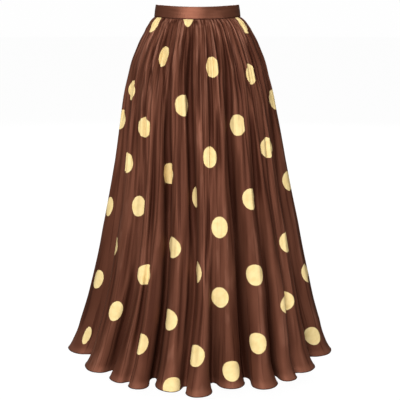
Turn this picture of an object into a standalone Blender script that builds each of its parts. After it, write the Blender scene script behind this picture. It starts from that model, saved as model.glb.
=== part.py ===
"""Pleated maxi skirt, worn, with a plain waistband and a concealed zip at the centre back.

The skirt hangs open and hollow from the waist. +Z is up, the front faces -Y and +X is on the
right of the front view, which is the wearer's left. The origin is the centre of the waist,
halfway up the waistband. Lengths are in metres. Angles go round the skirt from the centre
front (0), over the side seam at +X (90), to the centre back (180).
"""

import math

import bmesh
import bpy
import numpy as np
from mathutils import Matrix

# --- waistband ----------------------------------------------------------------------------
BAND_HEIGHT = 0.032
BAND_WALL = 0.0024
BAND_TOP_HALF_WIDTH = 0.114
BAND_FOOT_HALF_WIDTH = 0.1185
BAND_CROWN = 0.0005
BAND_EDGE_RADIUS = 0.0008
BAND_COLUMNS = 60
WAIST_DEPTH_RATIO = 0.78
WAIST_DIP = 0.006
SEAM_Z = -BAND_HEIGHT / 2

# --- skirt --------------------------------------------------------------------------------
CLOTH_WALL = 0.001
SEAM_GAP = 0.0003
SIDE_DROP = 0.944
FRONT_EXTRA_DROP = 0.017
CLOTH_SET_BACK = BAND_WALL - CLOTH_WALL
CLOTH_TOP_HALF_WIDTH = BAND_FOOT_HALF_WIDTH - CLOTH_SET_BACK
CLOTH_TOP_HALF_DEPTH = BAND_FOOT_HALF_WIDTH * WAIST_DEPTH_RATIO - CLOTH_SET_BACK

# The outline at the crests of the folds, ring by ring: drop below the waist seam, half width,
# depth over width, and how far the ring hangs off to +X.
OUTLINE_COLUMNS = ("drop", "half_width", "depth_ratio", "sway")
OUTLINE = (
    (0.000, CLOTH_TOP_HALF_WIDTH, CLOTH_TOP_HALF_DEPTH / CLOTH_TOP_HALF_WIDTH, 0.000),
    (0.008, 0.1265, 0.785, 0.001),
    (0.020, 0.1365, 0.790, 0.002),
    (0.042, 0.150, 0.795, 0.003),
    (0.085, 0.172, 0.800, 0.003),
    (0.160, 0.197, 0.815, 0.003),
    (0.260, 0.220, 0.830, 0.005),
    (0.400, 0.247, 0.845, 0.008),
    (0.560, 0.280, 0.860, 0.011),
    (0.720, 0.3165, 0.875, 0.011),
    (0.850, 0.351, 0.885, 0.009),
    (0.915, 0.372, 0.892, 0.007),
    (0.944, 0.388, 0.895, 0.007),
)

# Where the rings of the cloth lie, as shares of the drop, from the waist seam to the hem.
RINGS = (0.0, 0.012, 0.035, 0.08, 0.18, 0.30, 0.44, 0.58, 0.72, 0.86, 0.955, 1.0)

# The long folds, a row for each valley: its angle halfway down and at the hem, its depth at the
# hem, the share of the drop at which it opens, and how many narrow pleats lie between it and
# the next valley. The crest between the two lies at this share of the way across, and this far
# inside the outline at the hem.
FOLD_COLUMNS = ("middle_deg", "hem_deg", "depth", "opens_at", "pleats", "crest_at", "crest_in")
FRONT_FOLDS = (
    (-90.0, -90.0, 0.050, 0.16, 3, 0.33, 0.002),
    (-66.5, -68.0, 0.078, 0.12, 5, 0.60, 0.010),
    (-38.0, -45.4, 0.078, 0.20, 2, 0.57, 0.014),
    (-30.5, -32.4, 0.040, 0.30, 2, 0.54, 0.008),
    (-22.0, -24.4, 0.100, 0.10, 3, 0.64, 0.027),
    (-3.8, -6.8, 0.072, 0.04, 3, 0.42, 0.003),
    (6.5, 6.5, 0.097, 0.56, 3, 0.52, 0.044),
    (22.5, 24.3, 0.104, 0.05, 3, 0.38, 0.004),
    (39.5, 37.4, 0.072, 0.12, 2, 0.45, 0.007),
    (50.0, 46.8, 0.036, 0.24, 3, 0.43, 0.009),
    (60.0, 65.0, 0.074, 0.14, 4, 0.56, 0.002),
    (90.0, 90.0, 0.050, 0.16, 0, 0.50, 0.000),
)
BACK_FOLDS = (
    (90.0, 90.0, 0.050, 0.16, 3, 0.58, 0.016),
    (105.0, 103.0, 0.074, 0.20, 3, 0.50, 0.012),
    (118.0, 120.0, 0.080, 0.10, 2, 0.45, 0.004),
    (131.0, 129.0, 0.038, 0.34, 3, 0.50, 0.022),
    (144.0, 146.0, 0.090, 0.08, 2, 0.55, 0.006),
    (158.0, 156.0, 0.064, 0.26, 3, 0.45, 0.010),
    (172.0, 172.0, 0.072, 0.22, 4, 0.50, 0.000),
    (188.0, 188.0, 0.072, 0.22, 3, 0.50, 0.014),
    (203.0, 204.0, 0.066, 0.18, 3, 0.55, 0.004),
    (219.0, 217.0, 0.092, 0.08, 2, 0.50, 0.016),
    (229.0, 231.0, 0.040, 0.36, 3, 0.45, 0.006),
    (244.0, 246.0, 0.082, 0.14, 2, 0.55, 0.010),
    (256.0, 255.0, 0.060, 0.28, 3, 0.42, 0.016),
    (270.0, 270.0, 0.050, 0.16, 0, 0.50, 0.000),
)
BACK_SEAM_PHASE = 18
FLAT_BESIDE_ZIP = (1.1, 2.0)
MIDDLE_FROM, HEM_FROM = 0.60, 0.72
FOLD_START = 0.06

# The cloth of a fold is steepest this share of the way from its valley to its crest, so its
# crest is a wide tube and its valley a narrow throat. The tubes spread at the hem, all the way
# from their crests down to this share of their height.
STEEPEST_AT = 0.34
HEM_FLARE = 0.16
FLARE_FROM = 0.93
FLARE_FULL_AT = 0.8

# The narrow pleats, from the gathers under the waistband to the faint ribs at the hem.
DEPTH_COLUMNS = ("share", "depth")
PLEATS = (
    (0.00, 0.0014),
    (0.012, 0.0030),
    (0.035, 0.0048),
    (0.080, 0.0060),
    (0.180, 0.0064),
    (0.300, 0.0054),
    (0.440, 0.0038),
    (0.720, 0.0018),
    (1.000, 0.0010),
)

# The broad gathers, which take up two or three narrow pleats each and end above the knee.
GATHERS = (
    (0.00, 0.0000),
    (0.035, 0.0030),
    (0.100, 0.0060),
    (0.250, 0.0060),
    (0.450, 0.0030),
    (0.700, 0.0000),
    (1.000, 0.0000),
)
PLEATS_PER_GATHER = 2.4
GATHER_DRIFT, GATHER_DRIFT_PACE = 0.22, 0.9
POINTS_PER_PLEAT = 4
FIRST_POINT_PHASE = 0.125
FOLD_STEPS = 48
SWINGS = np.radians(np.linspace(1.0, 112.0, 29))

# --- zip ----------------------------------------------------------------------------------
ZIP_END_SHARE = 0.18
TAPE_HALF_WIDTH = 0.011
TAPE_WALL = 0.001
TAPE_COLUMNS = 7
TAPE_BELOW_TOP = 0.003

SLIDER_BELOW_TOP = 0.007
SLIDER_WIDTH = 0.0046
SLIDER_FOOT_WIDTH = 0.0030
SLIDER_HEIGHT = 0.009
SLIDER_THICKNESS = 0.002
SLIDER_EDGE_RADIUS = 0.0004
EYE_RADIUS = 0.0019
EYE_WIRE_RADIUS = 0.0005
EYE_ABOVE_FACE = 0.0011
EYE_UP = 0.001

PULL_THICKNESS = 0.0009
PULL_ABOVE_AXIS = 0.0005
PULL_WINDOW = (0.0016, 0.0005, 0.0033)
PULL_COLUMNS = ("below_axis", "half_width")
PULL_OUTLINE = (
    (-PULL_ABOVE_AXIS, 0.0022),
    (0.0008, 0.0026),
    (0.0036, 0.0024),
    (0.0064, 0.0015),
    (0.0100, 0.0018),
    (0.0140, 0.0026),
    (0.0165, 0.0023),
    (0.0178, 0.0012),
)
PULL_OUTLINE_STEPS = 14

# --- finishes and edges -------------------------------------------------------------------
BROWN_SATIN = {"colour": (0.118, 0.047, 0.030), "roughness": 0.38}
BROWN_TAPE = {"colour": (0.065, 0.028, 0.019), "roughness": 0.80}
BRONZE = {"colour": (0.150, 0.075, 0.045), "roughness": 0.35, "metallic": 0.7}
EDGE_SEGMENTS = 2
EDGE_MIN_ANGLE = math.radians(50.0)
EYE_SEGMENTS, EYE_WIRE_SEGMENTS = 20, 8
CAP_WELD = 0.00001


def columns_of(names, rows):
    """The table's columns by name."""
    return dict(zip(names, (np.array(column, float) for column in zip(*rows))))


def smooth_step(value, low, high):
    """0 below low, 1 above high, and an even curve between."""
    share = np.clip((value - low) / (high - low), 0.0, 1.0)
    return share * share * (3.0 - 2.0 * share)


def smooth_curve(x, xs, ys):
    """A curve through the points xs, ys that doesn't overshoot them, read at x."""
    widths = np.diff(xs)
    slopes = np.diff(ys) / widths
    tangents = np.concatenate([slopes[:1], (slopes[:-1] + slopes[1:]) / 2, slopes[-1:]])
    for i, slope in enumerate(slopes):
        limit = 3.0 * abs(slope)
        tangents[i : i + 2] = np.clip(tangents[i : i + 2], -limit, limit)
        tangents[i : i + 2] *= tangents[i : i + 2] * slope > 0
    i = np.clip(np.searchsorted(xs, x) - 1, 0, len(widths) - 1)
    u = (x - xs[i]) / widths[i]
    low = ys[i] + u * widths[i] * tangents[i]
    high = ys[i + 1] - (1 - u) * widths[i] * tangents[i + 1]
    return low * (1 - u) ** 2 * (1 + 2 * u) + high * u * u * (3 - 2 * u)


def outline_at(share):
    """(half width, half depth, sway) of the ring at this share of the drop."""
    table = columns_of(OUTLINE_COLUMNS, OUTLINE)
    drop = share * SIDE_DROP
    half_width = smooth_curve(drop, table["drop"], table["half_width"])
    ratio = np.interp(drop, table["drop"], table["depth_ratio"])
    sway = np.interp(drop, table["drop"], table["sway"])
    return half_width, half_width * ratio, sway


def waist_dip(angle):
    """How much lower the waist lies at this angle than at the side seams."""
    return WAIST_DIP * np.cos(angle) ** 2


def ring_height(share, angle):
    """Z of a ring of the cloth, which hangs a little longer at the front and the back."""
    drop = share * (SIDE_DROP + FRONT_EXTRA_DROP * np.cos(angle) ** 2)
    return SEAM_Z - SEAM_GAP - waist_dip(angle) - drop


def half_wave(swing):
    """Half a fold, from its valley to its crest, in which the slope swings out and back.

    The two results are how far the cloth has gone along and out, for cloth one unit long.
    """
    middle = (np.arange(FOLD_STEPS) + 0.5) / FOLD_STEPS
    middle **= math.log(0.5) / math.log(STEEPEST_AT)
    slope = swing * np.sin(np.pi * middle)
    along = np.concatenate([[0.0], np.cumsum(np.cos(slope))]) / FOLD_STEPS
    out = np.concatenate([[0.0], np.cumsum(np.sin(slope))]) / FOLD_STEPS
    return along, out


def half_fold(depth, half_pitch, flare):
    """The half wave that is this deep for its width, with its crest at 0.

    The flare spreads the upper part of the tube over the valley beside it.
    """
    waves = [half_wave(swing) for swing in SWINGS]
    ratios = [out[-1] / along[-1] for along, out in waves]
    along, out = half_wave(np.interp(depth / half_pitch, ratios, SWINGS))
    from_crest = half_pitch * (1.0 - along / along[-1])
    height = out / out[-1]
    from_crest *= 1.0 + flare * smooth_step(height, 0.0, FLARE_FULL_AT)
    return half_pitch - from_crest, depth * (height - 1.0)


def fold_lines(table, share):
    """The angles of the valleys and of the crests between them, and the pleats before each.

    The valleys lie evenly by their pleats at the waist, and as listed from there down.
    """
    middle, hem = np.radians(table["middle_deg"]), np.radians(table["hem_deg"])
    before = np.concatenate([[0.0], np.cumsum(table["pleats"])[:-1]])
    waist = hem[0] + (hem[-1] - hem[0]) * before / before[-1]
    to_middle = smooth_step(share, 0.0, MIDDLE_FROM)
    to_hem = smooth_step(share, HEM_FROM, 1.0)
    valleys = waist + (middle - waist) * to_middle + (hem - middle) * to_hem
    crest_at = 0.5 + (table["crest_at"][:-1] - 0.5) * to_hem
    crests = valleys[:-1] + np.diff(valleys) * crest_at
    return valleys, crests, before


def fold_growth(table, share):
    """How far each long fold has opened at this share of the drop, 1 at the hem."""
    run = np.clip(share - table["opens_at"], 0.0, None)
    full = 1.0 - table["opens_at"]
    return run**2 / (run + FOLD_START) / (full**2 / (full + FOLD_START))


def depth_at(rows, share):
    """A depth from a table of shares and depths."""
    table = columns_of(DEPTH_COLUMNS, rows)
    return smooth_curve(share, table["share"], table["depth"])


def pleat_ripple(share, phase, last_phase):
    """How far the narrow pleats and the broad gathers stand in from the long folds."""
    pleats = depth_at(PLEATS, share) * (1 + np.cos(2 * np.pi * phase)) / 2
    turn = phase / PLEATS_PER_GATHER + GATHER_DRIFT * np.sin(GATHER_DRIFT_PACE * phase)
    gathers = depth_at(GATHERS, share) * (1 - np.cos(2 * np.pi * turn)) / 2
    from_seams = smooth_step(phase, 0.0, 1.0) * smooth_step(last_phase - phase, 0.0, 1.0)
    return -pleats - gathers * from_seams


def cloth_ring(folds, share, phases, flat_phase=None):
    """Points round one run of folds. A phase counts narrow pleats from the first valley.

    The narrow pleats stop beside flat_phase, where a zip is sewn in.
    """
    table = columns_of(FOLD_COLUMNS, folds)
    half_width, half_depth, sway = outline_at(share)
    valleys, crests, starts = fold_lines(table, share)
    growth = fold_growth(table, share)
    depths, crest_in = table["depth"] * growth, table["crest_in"] * growth
    flare = HEM_FLARE * max(0.0, (share - FLARE_FROM) / (1.0 - FLARE_FROM)) ** 2

    curve_phase, curve_angle, curve_out = [], [], []
    for k, crest in enumerate(crests):
        length = math.hypot(half_width * math.cos(crest), half_depth * math.sin(crest))
        rise, fall = (crest - valleys[k]) * length, (valleys[k + 1] - crest) * length
        rise_along, rise_out = half_fold(depths[k] - crest_in[k], rise, flare)
        fall_along, fall_out = half_fold(depths[k + 1] - crest_in[k], fall, flare)
        along = np.concatenate([rise_along, rise + fall - fall_along[-2::-1]])
        out = np.concatenate([rise_out, fall_out[-2::-1]]) - crest_in[k]
        phase = starts[k] + table["pleats"][k] * np.linspace(0.0, 1.0, len(along))

        ripple = pleat_ripple(share, phase, table["pleats"].sum())
        if flat_phase is not None:
            ripple = ripple * smooth_step(abs(phase - flat_phase), *FLAT_BESIDE_ZIP)
        step_along, step_out = np.gradient(along), np.gradient(out)
        step = np.hypot(step_along, step_out)
        curve_phase.append(phase)
        curve_angle.append(valleys[k] + (along - ripple * step_out / step) / length)
        curve_out.append(out + ripple * step_along / step)

    curve_phase = np.concatenate(curve_phase)
    angle = np.interp(phases, curve_phase, np.concatenate(curve_angle))
    out = np.interp(phases, curve_phase, np.concatenate(curve_out))
    normal = np.array([np.sin(angle) / half_width, -np.cos(angle) / half_depth])
    normal /= np.linalg.norm(normal, axis=0)
    x = sway + half_width * np.sin(angle) + out * normal[0]
    y = -half_depth * np.cos(angle) + out * normal[1]
    return np.column_stack([x, y, ring_height(share, angle)])


def trim_ends(points):
    """Pull both ends of a ring back from the seam by half the gap."""
    points = points.copy()
    for end, neighbour in ((0, 1), (-1, -2)):
        inwards = points[neighbour] - points[end]
        points[end] += inwards / np.linalg.norm(inwards) * SEAM_GAP / 2
    return points


def panel_phases(first, last):
    """The phases of a panel's points: two on each pleat's crest and two in its valley."""
    count = (last - first) * POINTS_PER_PLEAT
    inner = first + FIRST_POINT_PHASE + np.arange(count) / POINTS_PER_PLEAT
    return np.concatenate([[first], inner, [last]])


def pleat_count(folds):
    """The narrow pleats in one run of folds."""
    return int(columns_of(FOLD_COLUMNS, folds)["pleats"].sum())


# --- scene helpers ------------------------------------------------------------------------
def clear_scene():
    for item in list(bpy.data.objects):
        bpy.data.objects.remove(item, do_unlink=True)


def new_collection(name):
    collection = bpy.data.collections.new(name)
    bpy.context.scene.collection.children.link(collection)
    return collection


def make_material(name, colour, roughness, metallic=0.0):
    material = bpy.data.materials.new(name)
    material.use_nodes = True
    shader = material.node_tree.nodes["Principled BSDF"]
    shader.inputs["Base Color"].default_value = (*colour, 1.0)
    shader.inputs["Roughness"].default_value = roughness
    shader.inputs["Metallic"].default_value = metallic
    material.diffuse_color = (*colour, 1.0)
    return material


def add_object(name, data, material, collection):
    item = bpy.data.objects.new(name, data)
    data.materials.append(material)
    collection.objects.link(item)
    return item


def mesh_from(bm, name):
    mesh = bpy.data.meshes.new(name)
    bm.to_mesh(mesh)
    bm.free()
    mesh.shade_smooth()
    return mesh


def surface_mesh(name, rows):
    """A grid shaped to the rows of points, which run from the bottom to the top."""
    row_count, column_count = len(rows), len(rows[0])
    bm = bmesh.new()
    bmesh.ops.create_grid(bm, x_segments=column_count - 1, y_segments=row_count - 1, size=0.5)
    for vert in bm.verts:
        row = round((vert.co.y + 0.5) * (row_count - 1))
        column = round((vert.co.x + 0.5) * (column_count - 1))
        vert.co = rows[row][column]
    return mesh_from(bm, name)


def thicken(item, wall, inset=0.0):
    """Give a surface its wall, which starts the inset inside the surface and goes inwards."""
    solidify = item.modifiers.new("wall", "SOLIDIFY")
    solidify.thickness = wall
    solidify.offset = -1.0 - 2.0 * inset / wall
    solidify.use_even_offset = True
    solidify.use_quality_normals = True


def round_edges(item, radius):
    bevel = item.modifiers.new("edges", "BEVEL")
    bevel.width = radius
    bevel.segments = EDGE_SEGMENTS
    bevel.limit_method = "ANGLE"
    bevel.angle_limit = EDGE_MIN_ANGLE


# --- the pieces ---------------------------------------------------------------------------
def band_outline(height):
    """(half width, half depth) of the waistband's outer face at this height above its foot."""
    share = height / BAND_HEIGHT
    half_width = BAND_FOOT_HALF_WIDTH + (BAND_TOP_HALF_WIDTH - BAND_FOOT_HALF_WIDTH) * share
    half_width += BAND_CROWN * 4 * share * (1 - share)
    return half_width, half_width - BAND_FOOT_HALF_WIDTH * (1 - WAIST_DEPTH_RATIO)


def make_waistband(material, collection):
    half_gap = math.asin(SEAM_GAP / 2 / BAND_TOP_HALF_WIDTH)
    angles = np.linspace(-math.pi + half_gap, math.pi - half_gap, BAND_COLUMNS + 1)
    rows = []
    for height in (0.0, BAND_HEIGHT / 2, BAND_HEIGHT):
        half_width, half_depth = band_outline(height)
        z = SEAM_Z + height - waist_dip(angles)
        x, y = half_width * np.sin(angles), -half_depth * np.cos(angles)
        rows.append(np.column_stack([x, y, z]))
    band = add_object("waistband", surface_mesh("waistband", rows), material, collection)
    thicken(band, BAND_WALL)
    round_edges(band, BAND_EDGE_RADIUS)
    return band


def make_panel(name, folds, first, last, flat_phase, material, collection):
    """One cut piece of the skirt, between two seams."""
    phases = panel_phases(first, last)
    rings = [cloth_ring(folds, share, phases, flat_phase) for share in reversed(RINGS)]
    mesh = surface_mesh(name, [trim_ends(ring) for ring in rings])
    panel = add_object(name, mesh, material, collection)
    thicken(panel, CLOTH_WALL)
    return panel


def make_zip_tape(material, collection):
    """The zip's tape, flat against the inner face of the back panels and the waistband."""
    x = np.linspace(TAPE_HALF_WIDTH, -TAPE_HALF_WIDTH, TAPE_COLUMNS)
    phases = panel_phases(BACK_SEAM_PHASE - 2, BACK_SEAM_PHASE + 2)
    rows = []
    for share in reversed([share for share in RINGS if share <= ZIP_END_SHARE]):
        ring = cloth_ring(BACK_FOLDS, share, phases, BACK_SEAM_PHASE)[::-1]
        y, z = (np.interp(x, ring[:, 0], ring[:, axis]) for axis in (1, 2))
        rows.append(np.column_stack([x, y, z]))
    half_width, half_depth = band_outline(BAND_HEIGHT - TAPE_BELOW_TOP)
    angle = math.pi - np.arcsin(x / half_width)
    y = -half_depth * np.cos(angle) - CLOTH_SET_BACK
    z = -SEAM_Z - TAPE_BELOW_TOP - waist_dip(angle)
    rows.append(np.column_stack([x, y, z]))
    tape = add_object("zip_tape", surface_mesh("zip_tape", rows), material, collection)
    thicken(tape, TAPE_WALL, inset=CLOTH_WALL + SEAM_GAP)
    return tape


def zip_frame(collection):
    """An empty on the waistband's outer face at the centre back: +Y out, +Z up the band."""
    height = BAND_HEIGHT - SLIDER_BELOW_TOP
    lower, upper = (band_outline(h)[1] for h in (height - SLIDER_HEIGHT, height))
    lean = math.atan2(lower - upper, SLIDER_HEIGHT)
    frame = bpy.data.objects.new("zip_frame", None)
    frame.location = (0.0, band_outline(height)[1], SEAM_Z + height - waist_dip(math.pi))
    frame.rotation_euler = (lean, 0.0, 0.0)
    collection.objects.link(frame)
    return frame


def make_zip_slider(frame, material, collection, cutters):
    """The slider's body, narrower at its foot, with an eye on its face for the pull tab."""
    bm = bmesh.new()
    size = (SLIDER_WIDTH, SLIDER_THICKNESS, SLIDER_HEIGHT)
    bmesh.ops.create_cube(bm, size=1.0, matrix=Matrix.Diagonal((*size, 1.0)))
    for vert in bm.verts:
        if vert.co.z < 0:
            vert.co.x *= SLIDER_FOOT_WIDTH / SLIDER_WIDTH
    slider = add_object("zip_slider", mesh_from(bm, "zip_slider"), material, collection)
    slider.parent = frame
    slider.location = (0.0, SEAM_GAP + SLIDER_THICKNESS / 2, 0.0)
    round_edges(slider, SLIDER_EDGE_RADIUS)

    bpy.ops.mesh.primitive_torus_add(
        major_radius=EYE_RADIUS,
        minor_radius=EYE_WIRE_RADIUS,
        major_segments=EYE_SEGMENTS,
        minor_segments=EYE_WIRE_SEGMENTS,
    )
    eye = bpy.context.object
    eye.name = "zip_slider_eye"
    for owner in list(eye.users_collection):
        owner.objects.unlink(eye)
    cutters.objects.link(eye)
    eye.parent = frame
    eye.location = eye_centre()
    eye.rotation_euler = (0.0, math.pi / 2, 0.0)
    eye.hide_render = True
    eye.display_type = "WIRE"
    union = slider.modifiers.new("eye", "BOOLEAN")
    union.operation = "UNION"
    union.object = eye
    return slider


def eye_centre():
    """Where the pull tab hinges, in the zip's frame."""
    return (0.0, SEAM_GAP + SLIDER_THICKNESS + EYE_ABOVE_FACE, EYE_UP)


def pull_outline():
    """The pull tab's outline, down one side and up the other, with the axis at the origin."""
    table = columns_of(PULL_COLUMNS, PULL_OUTLINE)
    below = np.linspace(table["below_axis"][0], table["below_axis"][-1], PULL_OUTLINE_STEPS)
    half = [smooth_curve(z, table["below_axis"], table["half_width"]) for z in below]
    right = [(width, -z) for width, z in zip(half, below)]
    return right + [(-width, height) for width, height in reversed(right)]


def make_zip_pull(frame, material, collection):
    """A flat tab that hangs from the eye by the bar above its window."""
    half_window, window_top, window_foot = PULL_WINDOW
    window = [
        (-half_window, -window_top),
        (half_window, -window_top),
        (half_window, -window_foot),
        (-half_window, -window_foot),
    ]
    outline = bpy.data.curves.new("zip_pull", "CURVE")
    outline.dimensions = "2D"
    outline.fill_mode = "BOTH"
    outline.extrude = PULL_THICKNESS / 2
    for points in (pull_outline(), window):
        spline = outline.splines.new("POLY")
        spline.points.add(len(points) - 1)
        for point, (x, y) in zip(spline.points, points):
            point.co = (x, y, 0.0, 1.0)
        spline.use_cyclic_u = True
    pull = add_object("zip_pull", outline, material, collection)
    weld = pull.modifiers.new("caps", "WELD")
    weld.merge_threshold = CAP_WELD
    pull.parent = frame
    pull.location = eye_centre()
    pull.rotation_euler = (math.pi / 2, 0.0, 0.0)
    return pull


def main():
    clear_scene()
    collection = new_collection("pleated_maxi_skirt")
    cutters = new_collection("joined_shapes")
    satin = make_material("brown_satin", **BROWN_SATIN)
    tape = make_material("zip_tape_cloth", **BROWN_TAPE)
    metal = make_material("bronze_lacquer", **BRONZE)

    make_waistband(satin, collection)
    front_pleats, back_pleats = pleat_count(FRONT_FOLDS), pleat_count(BACK_FOLDS)
    panels = (
        ("front_panel", FRONT_FOLDS, 0, front_pleats, None),
        ("back_panel_left", BACK_FOLDS, 0, BACK_SEAM_PHASE, BACK_SEAM_PHASE),
        ("back_panel_right", BACK_FOLDS, BACK_SEAM_PHASE, back_pleats, BACK_SEAM_PHASE),
    )
    for name, folds, first, last, flat_phase in panels:
        make_panel(name, folds, first, last, flat_phase, satin, collection)
    make_zip_tape(tape, collection)
    frame = zip_frame(collection)
    make_zip_slider(frame, metal, collection, cutters)
    make_zip_pull(frame, metal, collection)


main()
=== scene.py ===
# %% [markdown]
# # A pleated maxi skirt in spotted satin
#
# The skirt hangs from a plain band at the waist, hollow and open at the hem, as if worn. A
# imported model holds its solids: the band, a front panel, two back panels and a zip. This
# script loads them and never moves them. It then makes the cloth that shows: finer panels
# with the same folds, the printed dots, the satin, the rolled hem, the sewing and the zip's
# teeth. Lengths are in metres, +Z is up and the front of the skirt faces -Y.

# %% Load the fixed parts
import math

import bmesh
import bpy
import numpy as np
from mathutils import Matrix, Vector


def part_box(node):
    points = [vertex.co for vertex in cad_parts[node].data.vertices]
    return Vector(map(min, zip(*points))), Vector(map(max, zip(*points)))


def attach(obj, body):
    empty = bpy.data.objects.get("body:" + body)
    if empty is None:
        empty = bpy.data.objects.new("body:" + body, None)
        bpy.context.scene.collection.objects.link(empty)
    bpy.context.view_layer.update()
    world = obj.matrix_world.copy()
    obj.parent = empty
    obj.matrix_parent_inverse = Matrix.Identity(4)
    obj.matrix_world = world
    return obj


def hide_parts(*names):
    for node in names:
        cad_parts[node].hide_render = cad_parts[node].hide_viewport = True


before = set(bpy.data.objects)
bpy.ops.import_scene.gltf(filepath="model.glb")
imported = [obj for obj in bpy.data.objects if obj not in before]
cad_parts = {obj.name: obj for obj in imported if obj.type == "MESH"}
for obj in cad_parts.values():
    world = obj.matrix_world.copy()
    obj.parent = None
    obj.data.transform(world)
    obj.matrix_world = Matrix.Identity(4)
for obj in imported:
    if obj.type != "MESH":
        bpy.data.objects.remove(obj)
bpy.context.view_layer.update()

print("fixed parts:", sorted(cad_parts))

# %% [markdown]
# ## The camera
#
# A picture of clothes without a wearer is usually taken with a long lens, level with the
# waist. The curve of the hem against the straight top edge of the band gives the tilt: the
# camera looks down by about twelve degrees. A camera is turned by 90 degrees to look along
# +Y, and less than that to look down.

# %% Camera
CAMERA_PLACE = (0.0071, -2.6, 0.014)
CAMERA_TILT = math.radians(11.848)
CAMERA_VIEW_ANGLE = math.radians(24.31)

camera_data = bpy.data.cameras.new("camera")
camera_data.lens_unit = "FOV"
camera_data.angle = CAMERA_VIEW_ANGLE
camera = bpy.data.objects.new("camera", camera_data)
camera.location = CAMERA_PLACE
camera.rotation_euler = (math.pi / 2 - CAMERA_TILT, 0.0, 0.0)
bpy.context.scene.collection.objects.link(camera)
bpy.context.scene.camera = camera
print("lens", round(camera_data.lens, 1), "mm")

# %% [markdown]
# ## The sizes of the skirt
#
# These are the sizes that the solids were cut to, so the fine cloth lies on them. The
# outline gives how wide the skirt stands at each drop below the waist seam. The long folds
# are given by their valleys. Each stretch between two valleys holds a few narrow pleats, and
# a place round the cloth is counted in those pleats, because that count stays the same from
# the waist to the hem while the cloth gets wider.

# %% The band and the outline
BAND_HEIGHT = 0.032
BAND_WALL = 0.0024
BAND_TOP_HALF_WIDTH = 0.114
BAND_FOOT_HALF_WIDTH = 0.1185
BAND_CROWN = 0.0005
WAIST_DEPTH_RATIO = 0.78
WAIST_DIP = 0.006
SEAM_Z = -BAND_HEIGHT / 2
SEAM_GAP = 0.0003
SIDE_DROP = 0.944
FRONT_EXTRA_DROP = 0.017
CLOTH_SET_BACK = 0.0014
CLOTH_TOP_HALF_WIDTH = BAND_FOOT_HALF_WIDTH - CLOTH_SET_BACK
CLOTH_TOP_HALF_DEPTH = BAND_FOOT_HALF_WIDTH * WAIST_DEPTH_RATIO - CLOTH_SET_BACK

OUTLINE_COLUMNS = ("drop", "half_width", "depth_ratio", "sway")
OUTLINE = (
    (0.000, CLOTH_TOP_HALF_WIDTH, CLOTH_TOP_HALF_DEPTH / CLOTH_TOP_HALF_WIDTH, 0.000),
    (0.008, 0.1265, 0.785, 0.001),
    (0.020, 0.1365, 0.790, 0.002),
    (0.042, 0.150, 0.795, 0.003),
    (0.085, 0.172, 0.800, 0.003),
    (0.160, 0.197, 0.815, 0.003),
    (0.260, 0.220, 0.830, 0.005),
    (0.400, 0.247, 0.845, 0.008),
    (0.560, 0.280, 0.860, 0.011),
    (0.720, 0.3165, 0.875, 0.011),
    (0.850, 0.351, 0.885, 0.009),
    (0.915, 0.372, 0.892, 0.007),
    (0.944, 0.388, 0.895, 0.007),
)

# %% The long folds and the narrow pleats
FOLD_COLUMNS = ("middle_deg", "hem_deg", "depth", "opens_at", "pleats", "crest_at", "crest_in")
FRONT_FOLDS = (
    (-90.0, -90.0, 0.050, 0.16, 3, 0.33, 0.002),
    (-66.5, -68.0, 0.078, 0.12, 5, 0.60, 0.010),
    (-38.0, -45.4, 0.078, 0.20, 2, 0.57, 0.014),
    (-30.5, -32.4, 0.040, 0.30, 2, 0.54, 0.008),
    (-22.0, -24.4, 0.100, 0.10, 3, 0.64, 0.027),
    (-3.8, -6.8, 0.072, 0.04, 3, 0.42, 0.003),
    (6.5, 6.5, 0.097, 0.56, 3, 0.52, 0.044),
    (22.5, 24.3, 0.104, 0.05, 3, 0.38, 0.004),
    (39.5, 37.4, 0.072, 0.12, 2, 0.45, 0.007),
    (50.0, 46.8, 0.036, 0.24, 3, 0.43, 0.009),
    (60.0, 65.0, 0.074, 0.14, 4, 0.56, 0.002),
    (90.0, 90.0, 0.050, 0.16, 0, 0.50, 0.000),
)
BACK_FOLDS = (
    (90.0, 90.0, 0.050, 0.16, 3, 0.58, 0.016),
    (105.0, 103.0, 0.074, 0.20, 3, 0.50, 0.012),
    (118.0, 120.0, 0.080, 0.10, 2, 0.45, 0.004),
    (131.0, 129.0, 0.038, 0.34, 3, 0.50, 0.022),
    (144.0, 146.0, 0.090, 0.08, 2, 0.55, 0.006),
    (158.0, 156.0, 0.064, 0.26, 3, 0.45, 0.010),
    (172.0, 172.0, 0.072, 0.22, 4, 0.50, 0.000),
    (188.0, 188.0, 0.072, 0.22, 3, 0.50, 0.014),
    (203.0, 204.0, 0.066, 0.18, 3, 0.55, 0.004),
    (219.0, 217.0, 0.092, 0.08, 2, 0.50, 0.016),
    (229.0, 231.0, 0.040, 0.36, 3, 0.45, 0.006),
    (244.0, 246.0, 0.082, 0.14, 2, 0.55, 0.010),
    (256.0, 255.0, 0.060, 0.28, 3, 0.42, 0.016),
    (270.0, 270.0, 0.050, 0.16, 0, 0.50, 0.000),
)
FRONT_PLEATS = sum(fold[4] for fold in FRONT_FOLDS)
BACK_PLEATS = sum(fold[4] for fold in BACK_FOLDS)
BACK_SEAM_PLEAT = 18
FLAT_BESIDE_ZIP = (1.1, 2.0)
MIDDLE_FROM, HEM_FROM = 0.60, 0.72
FOLD_START = 0.06
STEEPEST_AT = 0.34
HEM_FLARE = 0.16
FLARE_FROM = 0.93
FLARE_FULL_AT = 0.8

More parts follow.
